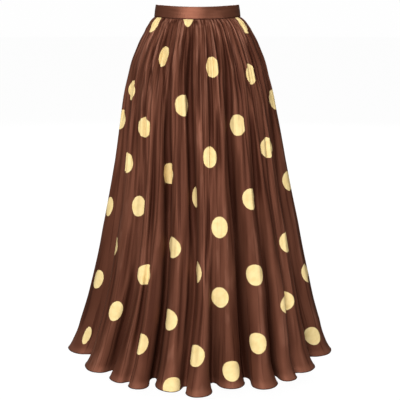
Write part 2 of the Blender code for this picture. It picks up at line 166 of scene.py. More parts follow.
DEPTH_COLUMNS = ("share", "depth")
PLEATS = (
    (0.00, 0.0014),
    (0.012, 0.0030),
    (0.035, 0.0048),
    (0.080, 0.0060),
    (0.180, 0.0064),
    (0.300, 0.0054),
    (0.440, 0.0038),
    (0.720, 0.0018),
    (1.000, 0.0010),
)
GATHERS = (
    (0.00, 0.0000),
    (0.035, 0.0030),
    (0.100, 0.0060),
    (0.250, 0.0060),
    (0.450, 0.0030),
    (0.700, 0.0000),
    (1.000, 0.0000),
)
PLEATS_PER_GATHER = 2.4
GATHER_DRIFT, GATHER_DRIFT_PACE = 0.22, 0.9
print("pleats:", FRONT_PLEATS, "in front,", BACK_PLEATS, "behind")

# %% [markdown]
# ## Curves that everything is read from
#
# A table of a few sizes becomes a smooth line when it is read through a curve that meets
# each size and doesn't overshoot between two of them. A plain cubic would overshoot and put
# a bump in the outline. `wander` is an even, endless wobble between -1 and 1, a sum of waves
# whose lengths share no common multiple. It makes the pleats uneven in the same way on
# every run, which random numbers without a seed would not.


# %% Reading tables
def columns_of(names, rows):
    """The table's columns by name."""
    return dict(zip(names, (np.array(column, float) for column in zip(*rows))))


def smooth_step(value, low, high):
    """0 below low, 1 above high, and an even curve between."""
    share = np.clip((value - low) / (high - low), 0.0, 1.0)
    return share * share * (3.0 - 2.0 * share)


def smooth_curve(x, xs, ys):
    """A curve through the points xs, ys that doesn't overshoot them, read at x."""
    widths = np.diff(xs)
    slopes = np.diff(ys) / widths
    tangents = np.concatenate([slopes[:1], (slopes[:-1] + slopes[1:]) / 2, slopes[-1:]])
    for i, slope in enumerate(slopes):
        limit = 3.0 * abs(slope)
        tangents[i : i + 2] = np.clip(tangents[i : i + 2], -limit, limit)
        tangents[i : i + 2] *= tangents[i : i + 2] * slope > 0
    i = np.clip(np.searchsorted(xs, x) - 1, 0, len(widths) - 1)
    u = (x - xs[i]) / widths[i]
    low = ys[i] + u * widths[i] * tangents[i]
    high = ys[i + 1] - (1 - u) * widths[i] * tangents[i + 1]
    return low * (1 - u) ** 2 * (1 + 2 * u) + high * u * u * (3 - 2 * u)


WANDER_PACE = 0.6
WANDER_WAVES = ((1.0, 0.0), (1.618, 1.3), (2.414, 4.1), (3.303, 2.2))


def wander(x, start=0.0):
    """A smooth wobble between -1 and 1 that never repeats, about one wave per unit."""
    turn = 2 * np.pi * WANDER_PACE * x
    waves = [np.sin(turn * pace + offset * start + offset) for pace, offset in WANDER_WAVES]
    return sum(waves) / len(waves)


print("wander over three pleats:", np.round(wander(np.arange(4.0)), 2))

# %% [markdown]
# ## Rings of cloth
#
# A ring is the skirt cut level at one drop. Its base line is an oval. A long fold is drawn
# with a curve whose slope swings out and back like a sine, because bent cloth does that: it
# makes round tubes with narrow throats, where a plain sine wave would make pointed ones. The
# narrow pleats are a ripple laid along that curve's normal. They are made uneven here: each
# pleat has its own width and its own depth, which changes slowly on its way down.


# %% Outline and seams of the cloth
def outline_at(share):
    """(half width, half depth, sway) of the ring at this share of the drop."""
    table = columns_of(OUTLINE_COLUMNS, OUTLINE)
    drop = share * SIDE_DROP
    half_width = smooth_curve(drop, table["drop"], table["half_width"])
    ratio = np.interp(drop, table["drop"], table["depth_ratio"])
    sway = np.interp(drop, table["drop"], table["sway"])
    return half_width, half_width * ratio, sway


def waist_dip(angle):
    """How much lower the waist lies at this angle than at the side seams."""
    return WAIST_DIP * np.cos(angle) ** 2


def ring_height(share, angle):
    """Z of a ring of the cloth, which hangs a little longer at the front and the back."""
    drop = share * (SIDE_DROP + FRONT_EXTRA_DROP * np.cos(angle) ** 2)
    return SEAM_Z - SEAM_GAP - waist_dip(angle) - drop


# %% One long fold
FOLD_STEPS = 48
LEAST_SWING_DEG, MOST_SWING_DEG, SWING_STEPS = 1.0, 112.0, 29
SWINGS = np.radians(np.linspace(LEAST_SWING_DEG, MOST_SWING_DEG, SWING_STEPS))


def half_wave(swing):
    """(along, out) of half a fold, from valley to crest, for cloth one unit long."""
    middle = (np.arange(FOLD_STEPS) + 0.5) / FOLD_STEPS
    middle **= math.log(0.5) / math.log(STEEPEST_AT)
    slope = swing * np.sin(np.pi * middle)
    along = np.concatenate([[0.0], np.cumsum(np.cos(slope))]) / FOLD_STEPS
    out = np.concatenate([[0.0], np.cumsum(np.sin(slope))]) / FOLD_STEPS
    return along, out


SWING_RATIOS = [out[-1] / along[-1] for along, out in map(half_wave, SWINGS)]
print("a fold may be up to", round(SWING_RATIOS[-1], 1), "times as deep as half its width")


def half_fold(depth, half_pitch, flare):
    """The half wave that is this deep for its width, with its crest at 0.

    The flare spreads the upper part of the tube over the valley beside it.
    """
    along, out = half_wave(np.interp(depth / half_pitch, SWING_RATIOS, SWINGS))
    from_crest = half_pitch * (1.0 - along / along[-1])
    height = out / out[-1]
    from_crest *= 1.0 + flare * smooth_step(height, 0.0, FLARE_FULL_AT)
    return half_pitch - from_crest, depth * (height - 1.0)


def fold_lines(table, share):
    """The angles of the valleys and of the crests between them, and the pleats before each."""
    middle, hem = np.radians(table["middle_deg"]), np.radians(table["hem_deg"])
    before = np.concatenate([[0.0], np.cumsum(table["pleats"])[:-1]])
    waist = hem[0] + (hem[-1] - hem[0]) * before / before[-1]
    to_middle = smooth_step(share, 0.0, MIDDLE_FROM)
    to_hem = smooth_step(share, HEM_FROM, 1.0)
    valleys = waist + (middle - waist) * to_middle + (hem - middle) * to_hem
    crest_at = 0.5 + (table["crest_at"][:-1] - 0.5) * to_hem
    crests = valleys[:-1] + np.diff(valleys) * crest_at
    return valleys, crests, before


def fold_growth(table, share):
    """How far each long fold has opened at this share of the drop, 1 at the hem."""
    run = np.clip(share - table["opens_at"], 0.0, None)
    full = 1.0 - table["opens_at"]
    return run**2 / (run + FOLD_START) / (full**2 / (full + FOLD_START))


# %% Uneven pleats and gathers
PLEAT_SHIFT, PLEAT_SHIFT_PACE = 0.42, 0.36
PLEAT_LEAN, PLEAT_LEAN_PACE = 0.35, 3.1
PLEAT_DEPTH_SHARE = 0.62
PLEAT_DEPTH_CHANGE = 1.6
SHALLOWEST_PLEAT = 0.18
GATHER_WOBBLE = 0.25
RIB_DEPTH = 0.0009
RIBS_FROM, RIBS_FULL_AT, RIBS_LOST_AT_HEM = 0.01, 0.12, 0.6
TUCK_DEPTH = 0.0036
TUCK_LENGTH = 0.024
TUCKS_FULL_AT = 0.008

# How fast each wobble changes: in each pleat, over the whole drop, and where it starts.
DEPTH_PACE = (0.55, 2.2, 2.0)
GATHER_PACE = (0.2, 0.8, 9.0)
RIB_PACE = (1.9, 0.8, 5.0)
TUCK_PACE = (1.25, 0.0, 7.0)


def depth_at(rows, share):
    """A depth from a table of shares and depths."""
    table = columns_of(DEPTH_COLUMNS, rows)
    return smooth_curve(share, table["share"], table["depth"])


def pleat_ripple(place, share, pleats):
    """How far the pleats, gathers, ribs and tucks stand in from the long folds."""

    def wobble(per_pleat, per_drop, start):
        return wander(per_pleat * place + per_drop * share, start)

    from_seams = smooth_step(place, 0.0, 1.0) * smooth_step(pleats - place, 0.0, 1.0)
    lean = PLEAT_LEAN * np.sin(PLEAT_LEAN_PACE * share + place)
    shifted = place + PLEAT_SHIFT * wander(PLEAT_SHIFT_PACE * place + lean) * from_seams
    change = PLEAT_DEPTH_CHANGE * wobble(*DEPTH_PACE) * from_seams
    strength = PLEAT_DEPTH_SHARE * np.maximum(1.0 + change, SHALLOWEST_PLEAT)
    ripple = -depth_at(PLEATS, share) * strength * (1 + np.cos(2 * np.pi * shifted)) / 2
    turn = place / PLEATS_PER_GATHER + GATHER_DRIFT * np.sin(GATHER_DRIFT_PACE * place)
    turn += GATHER_WOBBLE * wobble(*GATHER_PACE)
    gathers = -depth_at(GATHERS, share) * (1 - np.cos(2 * np.pi * turn)) / 2
    ribs = RIB_DEPTH * wobble(*RIB_PACE) * smooth_step(share, RIBS_FROM, RIBS_FULL_AT)
    ribs *= 1.0 - RIBS_LOST_AT_HEM * share
    tucks = TUCK_DEPTH * wobble(*TUCK_PACE)
    tucks *= np.exp(-share / TUCK_LENGTH) * smooth_step(share, 0.0, TUCKS_FULL_AT)
    return ripple + (gathers + ribs + tucks) * from_seams


deepest = min(pleat_ripple(np.arange(0.0, FRONT_PLEATS, 0.1), 0.1, FRONT_PLEATS))
print("deepest pleat a tenth of the way down:", round(-deepest * 1000, 1), "mm")

# %% [markdown]
# The main creases are listed one by one. A crease is a soft trough or ridge that follows the
# cloth for a stretch and dies out at both ends. Each row says which pleat it lies on, from
# which drop to which, how far it drifts sideways in pleats, how wide it is in pleats, and
# how deep, with a ridge as a depth below nought.

# %% Main creases
CREASE_COLUMNS = ("pleat", "from_drop", "to_drop", "drift", "half_width", "depth")
FRONT_CREASES = (
    (1.2, 0.03, 0.17, 0.3, 0.20, 0.0035),
    (1.6, 0.58, 0.90, 0.2, 0.22, 0.0040),
    (3.2, 0.24, 0.54, 0.8, 0.24, 0.0050),
    (4.4, 0.02, 0.20, 0.6, 0.20, 0.0045),
    (5.4, 0.58, 0.93, 0.2, 0.20, 0.0055),
    (5.7, 0.24, 0.42, 0.0, 0.20, 0.0040),
    (6.4, 0.48, 0.82, -0.3, 0.18, 0.0045),
    (7.2, 0.62, 0.97, 0.1, 0.23, 0.0060),
    (7.5, 0.10, 0.30, 0.8, 0.20, 0.0045),
    (8.3, 0.28, 0.52, 0.4, 0.22, 0.0050),
    (8.3, 0.02, 0.22, 2.4, 0.22, 0.0050),
    (8.9, 0.62, 0.94, 0.0, 0.18, 0.0055),
    (9.9, 0.20, 0.64, -0.3, 0.22, 0.0060),
    (9.8, 0.63, 0.90, 0.1, 0.22, 0.0050),
    (11.0, 0.03, 0.24, 2.0, 0.22, 0.0055),
    (11.1, 0.56, 0.95, 0.0, 0.20, 0.0055),
    (12.0, 0.20, 0.52, 0.0, 0.23, 0.0050),
    (12.1, 0.02, 0.20, 0.3, 0.20, 0.0045),
    (13.4, 0.26, 0.58, 0.0, 0.20, 0.0050),
    (13.9, 0.56, 0.92, 0.0, 0.22, 0.0060),
    (14.5, 0.58, 0.86, 0.0, 0.17, 0.0045),
    (14.5, 0.00, 0.24, 0.3, 0.26, 0.0060),
    (15.0, 0.00, 0.32, -0.2, 0.26, 0.0100),
    (14.8, 0.26, 0.64, -0.2, 0.24, 0.0080),
    (16.5, 0.02, 0.28, -0.6, 0.22, 0.0060),
    (16.3, 0.66, 0.95, 0.0, 0.20, 0.0050),
    (17.2, 0.40, 0.68, -0.9, 0.22, 0.0055),
    (17.5, 0.62, 0.96, -0.5, 0.23, 0.0050),
    (18.3, 0.02, 0.34, 0.0, 0.22, 0.0050),
    (19.1, 0.20, 0.42, 0.0, 0.20, 0.0045),
    (19.8, 0.66, 0.96, 0.2, 0.26, 0.0035),
    (20.4, 0.32, 0.66, 0.1, 0.20, 0.0045),
    (19.7, 0.01, 0.16, 0.4, 0.26, 0.0060),
    (21.1, 0.02, 0.30, -0.3, 0.24, 0.0070),
    (21.0, 0.26, 0.58, 0.0, 0.23, 0.0050),
    (22.8, 0.02, 0.22, 0.6, 0.20, 0.0050),
    (22.9, 0.68, 0.96, 0.1, 0.25, 0.0040),
    (23.4, 0.38, 0.72, 0.0, 0.20, 0.0050),
    (24.2, 0.02, 0.24, 0.9, 0.24, 0.0060),
    (24.2, 0.20, 0.52, 0.0, 0.24, 0.0060),
    (25.3, 0.24, 0.72, 0.0, 0.22, 0.0055),
    (26.6, 0.04, 0.19, 0.5, 0.40, 0.0080),
    (27.6, 0.02, 0.28, 0.0, 0.23, 0.0060),
    (27.5, 0.56, 0.95, -0.2, 0.20, 0.0055),
    (28.4, 0.70, 0.95, 0.0, 0.18, 0.0050),
    (29.3, 0.24, 0.62, 0.5, 0.24, 0.0050),
    (30.6, 0.05, 0.34, 0.4, 0.20, 0.0045),
    (31.1, 0.52, 0.90, 0.2, 0.22, 0.0050),
)
CREASE_TAPER = 0.35
BACK_CREASE_FIRST, BACK_CREASE_STEP = 1.4, 0.95
BACK_CREASE_STARTS, BACK_CREASE_START_SPREAD = (0.48, 0.02), 0.22
BACK_CREASE_LENGTH, BACK_CREASE_LENGTH_SPREAD = 0.24, 0.26
BACK_CREASE_LOWEST = 0.93
BACK_CREASE_DRIFT = 0.5
BACK_CREASE_WIDTH, BACK_CREASE_WIDTH_CHANGE = 0.22, 0.04
BACK_CREASE_DEPTH, BACK_RIDGE_HEIGHT, BACK_RIDGE_EVERY = 0.0052, 0.0022, 5

# How fast each wobble changes from crease to crease, and where it starts.
CREASE_START_PACE, CREASE_LENGTH_PACE = (0.9, 0.0), (0.8, 3.0)
CREASE_DRIFT_PACE, CREASE_WIDTH_PACE = (1.1, 4.0), (1.0, 6.0)


def wobble_of(k, pace, start):
    """A wobble between -1 and 1 for the k-th of a row of creases."""
    return wander(pace * k, start)


def back_creases():
    """Creases like the front's, spaced by a rule and kept off the centre-back seam."""
    rows = []
    pleats = np.arange(BACK_CREASE_FIRST, BACK_PLEATS - 1.0, BACK_CREASE_STEP)
    for k, pleat in enumerate(pleats):
        if abs(pleat - BACK_SEAM_PLEAT) < FLAT_BESIDE_ZIP[1]:
            continue
        start = BACK_CREASE_STARTS[k % 2]
        start += BACK_CREASE_START_SPREAD * (0.5 + 0.5 * wobble_of(k, *CREASE_START_PACE))
        longer = BACK_CREASE_LENGTH_SPREAD * (0.5 + 0.5 * wobble_of(k, *CREASE_LENGTH_PACE))
        length = BACK_CREASE_LENGTH + longer
        end = min(start + length, BACK_CREASE_LOWEST)
        drift = BACK_CREASE_DRIFT * wobble_of(k, *CREASE_DRIFT_PACE)
        width = BACK_CREASE_WIDTH
        width += BACK_CREASE_WIDTH_CHANGE * wobble_of(k, *CREASE_WIDTH_PACE)
        depth = BACK_CREASE_DEPTH if k % BACK_RIDGE_EVERY else -BACK_RIDGE_HEIGHT
        rows.append((pleat, start, end, drift, width, depth))
    return tuple(rows)


def crease_depths(creases, place, share):
    """The sum of the creases at each place of the ring."""
    table = columns_of(CREASE_COLUMNS, creases)
    drop = share * SIDE_DROP
    total = np.zeros_like(place)
    for row in zip(*(table[name] for name in CREASE_COLUMNS)):
        pleat, start, end, drift, half_width, depth = row
        run = (drop - start) / (end - start)
        if not 0.0 < run < 1.0:
            continue
        strength = smooth_step(run, 0.0, CREASE_TAPER) * smooth_step(1.0 - run, 0.0, CREASE_TAPER)
        across = (place - pleat - drift * (run - 0.5)) / half_width
        total -= depth * strength * np.exp(-(across**2))
    return total


BACK_CREASES = back_creases()
print("main creases:", len(FRONT_CREASES), "in front,", len(BACK_CREASES), "behind")


# %% [markdown]
# A whole ring puts these together. With each point it keeps how far the cloth lies behind
# the crests, because the satin is painted darker there, as it looks in the throat of a fold.

# %% A whole ring
LONG_FOLD_SHADE = 0.33
RIPPLE_SHADE = 2.4
CREASE_SHADE = 4.2


def cloth_ring(folds, creases, share, places, flat_place=None):
    """(x, y, z, how far behind the crests) round one run of folds.

    Places are counted in pleats from its first valley. The pleats and creases stop beside
    flat_place, where the zip is sewn in.
    """
    table = columns_of(FOLD_COLUMNS, folds)
    half_width, half_depth, sway = outline_at(share)
    valleys, crests, starts = fold_lines(table, share)
    growth = fold_growth(table, share)
    depths, crest_in = table["depth"] * growth, table["crest_in"] * growth
    flare = HEM_FLARE * max(0.0, (share - FLARE_FROM) / (1.0 - FLARE_FROM)) ** 2

    curve_place, curve_angle, curve_out, curve_behind = [], [], [], []
    for k, crest in enumerate(crests):
        length = math.hypot(half_width * math.cos(crest), half_depth * math.sin(crest))
        rise, fall = (crest - valleys[k]) * length, (valleys[k + 1] - crest) * length
        rise_along, rise_out = half_fold(depths[k] - crest_in[k], rise, flare)
        fall_along, fall_out = half_fold(depths[k + 1] - crest_in[k], fall, flare)
        along = np.concatenate([rise_along, rise + fall - fall_along[-2::-1]])
        out = np.concatenate([rise_out, fall_out[-2::-1]]) - crest_in[k]
        place = starts[k] + table["pleats"][k] * np.linspace(0.0, 1.0, len(along))

        pleats = pleat_ripple(place, share, table["pleats"].sum())
        creased = crease_depths(creases, place, share)
        if flat_place is not None:
            from_zip = smooth_step(abs(place - flat_place), *FLAT_BESIDE_ZIP)
            pleats, creased = pleats * from_zip, creased * from_zip
        ripple = pleats + creased
        step_along, step_out = np.gradient(along), np.gradient(out)
        step = np.hypot(step_along, step_out)
        curve_place.append(place)
        curve_angle.append(valleys[k] + (along - ripple * step_out / step) / length)
        curve_out.append(out + ripple * step_along / step)
        behind_crest = -LONG_FOLD_SHADE * (out + crest_in[k])
        curve_behind.append(behind_crest - RIPPLE_SHADE * pleats - CREASE_SHADE * creased)

    curve_place = np.concatenate(curve_place)
    angle = np.interp(places, curve_place, np.concatenate(curve_angle))
    out = np.interp(places, curve_place, np.concatenate(curve_out))
    behind = np.interp(places, curve_place, np.concatenate(curve_behind))
    normal = np.array([np.sin(angle) / half_width, -np.cos(angle) / half_depth])
    normal /= np.linalg.norm(normal, axis=0)
    x = sway + half_width * np.sin(angle) + out * normal[0]
    y = -half_depth * np.cos(angle) + out * normal[1]
    return np.column_stack([x, y, ring_height(share, angle), behind])


front_hem = cloth_ring(FRONT_FOLDS, FRONT_CREASES, 1.0, np.linspace(0, FRONT_PLEATS, 400))
print("the front's hem runs from", *front_hem[[0, -1], 0].round(3), "m across")


# %% [markdown]
# ## Where the rings and columns lie
#
# A grid of cloth needs close rows where the shape changes fast, which is under the band and
# at the hem, and wide ones between. Twelve columns to a pleat are enough to keep it round.

# %% Rows and columns
COLUMNS_PER_PLEAT = 12
FIRST_ROW_STEP = 0.0012
ROW_STEP_GROWTH = 0.11
LONGEST_ROW_STEP = 0.0092


def row_shares():
    """Shares of the drop, with short steps near the waist and the hem."""
    drops = [0.0]
    while drops[-1] < SIDE_DROP:
        from_edge = min(drops[-1], SIDE_DROP - drops[-1])
        step = min(FIRST_ROW_STEP + ROW_STEP_GROWTH * from_edge, LONGEST_ROW_STEP)
        drops.append(drops[-1] + step)
    return np.array(drops) / drops[-1]


def places_between(first, last):
    return np.linspace(first, last, (last - first) * COLUMNS_PER_PLEAT + 1)


ROWS = row_shares()
print(len(ROWS), "rows, from", round(SIDE_DROP * ROWS[1] * 1000, 1), "mm apart")

# %% [markdown]
# ## The printed dots
#
# The print is a plain spot, a little taller than wide because the cloth is gathered, in
# columns whose dots sit half a step off their neighbours'. On the front the dots are charted
# one by one, each by the pleat its middle lies on, its drop in metres and its width as a share
# of a plain dot's. Behind, a rule carries the same repeat round. Every point of the cloth
# gets its distance from the nearest dot's edge, measured along the cloth. The satin reads
# that distance, so the dots bend with the folds.

# %% The chart of the dots
DOT_HEIGHT = 0.056
DOT_WIDTH = 0.050
FRONT_DOTS = (
    # the column by the side seam on the left of the picture, and on to the right
    (1.7, 0.279, 0.9), (1.8, 0.521, 0.6), (2.0, 0.727, 0.7), (2.2, 0.893, 0.45),
    (5.2, 0.017, 0.8), (4.0, 0.196, 1.2), (5.1, 0.384, 1.1), (4.2, 0.614, 1.3), (6.3, 0.778, 0.8),
    (10.4, 0.097, 0.8), (8.0, 0.284, 1.3), (7.2, 0.493, 0.8), (9.8, 0.663, 1.25),
    (10.8, 0.836, 0.9),
    (14.2, 0.218, 1.1), (12.0, 0.399, 1.2), (12.85, 0.585, 1.3), (13.1, 0.770, 1.1),
    (13.7, 0.935, 1.1),
    (14.3, -0.001, 0.55), (15.1, 0.454, 0.55), (15.7, 0.643, 0.9), (16.2, 0.849, 1.1),
    (18.7, 0.121, 1.0), (17.8, 0.348, 0.9), (18.7, 0.526, 0.9), (18.6, 0.710, 1.0),
    (19.4, 0.902, 1.1),
    (21.8, 0.272, 1.0), (22.6, 0.464, 1.0), (22.3, 0.659, 1.1), (22.2, 0.833, 1.1),
    (28.2, 0.019, 0.7), (25.2, 0.146, 0.8), (26.4, 0.342, 1.1), (27.6, 0.599, 1.0),
    (25.8, 0.755, 1.5),
    (31.1, 0.224, 0.9), (30.8, 0.447, 1.0), (30.8, 0.707, 0.9), (30.1, 0.888, 1.0),
)
BACK_DOT_COLUMNS, BACK_DOT_FIRST_PLEAT, BACK_DOT_PLEATS_APART = 9, 0.9, 4.1
BACK_DOT_ROWS, BACK_DOT_FIRST_DROP, BACK_DOT_STEP = 6, 0.02, 0.19
BACK_DOT_PLEAT_SHIFT, BACK_DOT_DROP_SHIFT = 1.0, 0.018
BACK_DOT_PLEAT_PACE, BACK_DOT_DROP_PACE = 0.8, 1.3
BACK_TOP_DOT_WIDTH = 0.88


def back_dots():
    """The repeat carried round the back, with small shifts like the front's."""
    dots = []
    for column in range(BACK_DOT_COLUMNS):
        for row in range(BACK_DOT_ROWS):
            pleat = BACK_DOT_FIRST_PLEAT + BACK_DOT_PLEATS_APART * column
            pleat += BACK_DOT_PLEAT_SHIFT * wander(BACK_DOT_PLEAT_PACE * row, column)
            shift = BACK_DOT_DROP_SHIFT * wander(BACK_DOT_DROP_PACE * row + column)
            drop = BACK_DOT_FIRST_DROP + BACK_DOT_STEP / 2 * (column % 2)
            drop += BACK_DOT_STEP * row + shift
            width = BACK_TOP_DOT_WIDTH if drop < BACK_DOT_STEP else 1.0
            if drop < SIDE_DROP:
                dots.append((pleat, drop, width))
    return tuple(dots)


BACK_DOTS = back_dots()
print("dots:", len(FRONT_DOTS), "in front,", len(BACK_DOTS), "behind")


# %% Distances along the cloth
def down_the_cloth(shares):
    """How far each share of the drop is from the waist seam, along the cloth."""
    half_width = np.array([outline_at(share)[0] for share in shares])
    steps = np.hypot(np.diff(half_width), np.diff(shares) * SIDE_DROP)
    return np.concatenate([[0.0], np.cumsum(steps)])


def dot_edge_distance(dots, places, across, down):
    """For each point of the cloth, the distance to the nearest dot's edge, inside below 0.

    A dot may lie beyond the piece's seam, with only its edge on the piece.
    """
    nearest = np.full(across.shape, np.inf)
    pleat_width = across[:, -1] / (places[-1] - places[0])
    for place, drop, width in dots:
        centre_across = np.array([np.interp(place, places, row) for row in across])
        centre_across += (place - np.clip(place, places[0], places[-1])) * pleat_width
        centre_down = np.interp(drop / SIDE_DROP, ROWS, down)
        wide = (across - centre_across[:, None]) * DOT_HEIGHT / (width * DOT_WIDTH)
        high = (down - centre_down)[:, None]
        nearest = np.minimum(nearest, np.hypot(wide, high))
    return nearest - DOT_HEIGHT / 2


print("the cloth is", round(down_the_cloth(ROWS)[-1], 3), "m long")

# %% [markdown]
# ## Helpers for materials
#
# A material is a small net of nodes. One helper makes a node and plugs its inputs in one
# line, where an input is either a fixed value or another node's output. The others are short
# names for the few nodes that every finish here is made of.


# %% Making and joining nodes
def new_material(name):
    material = bpy.data.materials.new(name)
    material.use_nodes = True
    return material, material.node_tree, material.node_tree.nodes["Principled BSDF"]


def add_node(tree, kind, inputs, output=0, **settings):
    """A new node with its settings and inputs, and its output socket."""
    made = tree.nodes.new(kind)
    for name, value in settings.items():
        setattr(made, name, value)
    plug(tree, made, inputs)
    return made.outputs[output]


def plug(tree, target, inputs):
    """Set the target's inputs, or link them where a value is another node's output."""
    for name, value in inputs.items():
        if isinstance(value, bpy.types.NodeSocket):
            tree.links.new(value, target.inputs[name])
        else:
            target.inputs[name].default_value = value


print("helpers:", new_material.__name__, add_node.__name__, plug.__name__)


# %% Short names for common nodes
def math_node(tree, operation, first, second=0.0):
    return add_node(tree, "ShaderNodeMath", {0: first, 1: second}, operation=operation)


def times(tree, first, second):
    return math_node(tree, "MULTIPLY", first, second)


def mix_colours(tree, factor, first, second):
    """A colour between two, with the mix node's sockets by their numbers, as names repeat."""
    inputs = {0: factor, 6: first, 7: second}
    return add_node(tree, "ShaderNodeMix", inputs, output=2, data_type="RGBA")


def ramp(tree, value, low, high, to_low=0.0, to_high=1.0, even=True):
    """The value carried from one range to another, evenly or with soft ends."""
    inputs = {"Value": value, "From Min": low, "From Max": high}
    inputs |= {"To Min": to_low, "To Max": to_high}
    kind = "LINEAR" if even else "SMOOTHSTEP"
    return add_node(tree, "ShaderNodeMapRange", inputs, interpolation_type=kind)


def noise(tree, place, scale, detail):
    """A cloudy pattern between 0 and 1. Three scales stretch it along the axes."""
    if isinstance(scale, tuple):
        place = add_node(tree, "ShaderNodeMapping", {"Vector": place, "Scale": scale})
        scale = 1.0
    inputs = {"Vector": place, "Scale": scale, "Detail": detail}
    return add_node(tree, "ShaderNodeTexNoise", inputs)


def bump(tree, height, strength, distance):
    inputs = {"Height": height, "Strength": strength, "Distance": distance}
    return add_node(tree, "ShaderNodeBump", inputs)


def attribute(tree, name):
    """A number that the mesh carries for each of its vertices."""
    return add_node(tree, "ShaderNodeAttribute", {}, output="Fac", attribute_name=name)


def cloth_metres(tree):
    """Where a point lies on its piece of cloth, in metres across and down."""
    return add_node(tree, "ShaderNodeUVMap", {}, uv_map="cloth")


def object_place(tree):
    """Where a point lies in the skirt, in metres."""
    return add_node(tree, "ShaderNodeTexCoord", {}, output="Object")


print("nodes for:", ", ".join(made.__name__ for made in (times, mix_colours, ramp, noise, bump)))

# %% [markdown]
# ## The satin
#
# Satin has long threads that float on the right side, so it shines along the folds in soft
# streaks and looks flat and dull on the wrong side. That shine is painted: the streaks are
# painted highlights and painted shade, a noise stretched down the cloth. It is read from the
# pleat count and the drop, so it fans out with the pleats as real shading does. A finer one
# gives the threads. The dots are printed: a mask made from the distance to the dot's edge
# mixes pale yellow in, with a thin dark rim.

# %% Satin colours
BROWN = (0.118, 0.0400, 0.0225, 1.0)
DEEP_BROWN = (0.076, 0.0245, 0.0138, 1.0)
RED_BROWN = (0.144, 0.0520, 0.0305, 1.0)
# Painted highlight on the crests of the satin, and a paler tone in the band's clouds.
HIGHLIGHT_AND_PALE_BROWN = (0.188, 0.0700, 0.0415, 1.0)
# Painted glints, on the crests, in the gathers and puckers and on the band's top fold.
GLINT_BROWN = (0.300, 0.1300, 0.0850, 1.0)
# Painted shade: the dark brown put in the throats of the folds, on thin lines and dark streaks, at
# the hem and waist edges, at the band's foot and in the rolls.
PAINTED_SHADE_BROWN = (0.047, 0.0130, 0.0070, 1.0)
# Painted sheen just above the hem.
HEM_SHEEN = (0.245, 0.0930, 0.0560, 1.0)
SPECULAR_BROWN = (0.72, 0.52, 0.45, 1.0)
SHEEN_BROWN = (0.55, 0.30, 0.20, 1.0)
DOT_YELLOW = (0.87, 0.68, 0.33, 1.0)
DOT_SHADE = (0.78, 0.58, 0.25, 1.0)
DOT_RIM = (0.28, 0.18, 0.075, 1.0)
# Painted shade on the dots where they lie in the throats of the folds.
DOT_IN_THROAT = (0.42, 0.28, 0.11, 1.0)
WRONG_SIDE_BROWN = (0.135, 0.056, 0.038, 1.0)
WRONG_SIDE_DOT = (0.46, 0.33, 0.16, 1.0)
print("the satin's middle brown:", BROWN[:3])

# %% [markdown]
# Each kind of streak has a pace: how many to a pleat, how many to a metre of drop, and how
# much detail. Crests and glints are painted highlights, lines are thin painted shade, and
# gathers and puckers are painted glints and shade in the upper part and just under the band.
# For the crests, glints and lines two ramps then say how strongly they show. One is read from
# the noise and one from the drop, as the upper, gathered part is streaked in another way. A
# ramp is written as the range it reads and the range it gives.

# %% Streaks of the satin
STREAK_PACES = {
    "broad": (1.1, 5.0, 2.0),
    "fine": (5.0, 9.0, 4.0),
    "crests": (0.7, 6.0, 2.0),
    "glints": (2.3, 11.0, 2.0),
    "lines": (6.5, 3.0, 2.0),
    "gathers": (1.4, 6.0, 2.0),
    "puckers": (1.35, 26.0, 2.0),
}
STREAKS_SHOW = {
    "crests": ((0.35, 0.62, 0.45, 1.0), (0.25, 0.60, 1.0, 0.58)),
    "glints": ((0.50, 0.68, 0.0, 0.9), (0.45, 0.12, 0.48, 1.0)),
    "lines": ((0.43, 0.35, 0.0, 0.65), (0.25, 0.50, 0.0, 1.0)),
}
BROAD_MIX = (0.35, 0.65)
FINE_MIX = (0.20, 0.80, 0.25, 0.75)
# Where the painted shade and the painted glints of the gathers and puckers start and are full.
DARK_STREAK, LIGHT_STREAK = (0.47, 0.37), (0.54, 0.63)
PUCKER_LENGTH, PUCKER_FULL_AT = 0.045, 0.004
GATHERED_LENGTH, GATHERED_STRENGTH = 0.30, 0.7
CREST_BEHIND = 0.0050


def pleat_and_drop(tree, drop):
    """A place counted in pleats across and in metres down."""
    return add_node(tree, "ShaderNodeCombineXYZ", {"X": attribute(tree, "pleat"), "Y": drop})


def streaks(tree, place, kind):
    """Noise stretched down the cloth, between 0 and 1."""
    per_pleat, per_metre, detail = STREAK_PACES[kind]
    return noise(tree, place, (per_pleat, per_metre, 1.0), detail)


def showing(tree, place, drop, kind):
    """Where streaks of this kind show, from their noise and from the drop."""
    by_noise, by_drop = STREAKS_SHOW[kind]
    seen = ramp(tree, streaks(tree, place, kind), *by_noise)
    return times(tree, seen, ramp(tree, drop, *by_drop))


def streaked(tree, body, place, kind, strength):
    """The body with painted shade where the noise is low and painted glints where it is high."""
    pattern = streaks(tree, place, kind)
    dark = times(tree, strength, ramp(tree, pattern, *DARK_STREAK))
    light = times(tree, strength, ramp(tree, pattern, *LIGHT_STREAK))
    return mix_colours(tree, light, mix_colours(tree, dark, body, PAINTED_SHADE_BROWN), GLINT_BROWN)


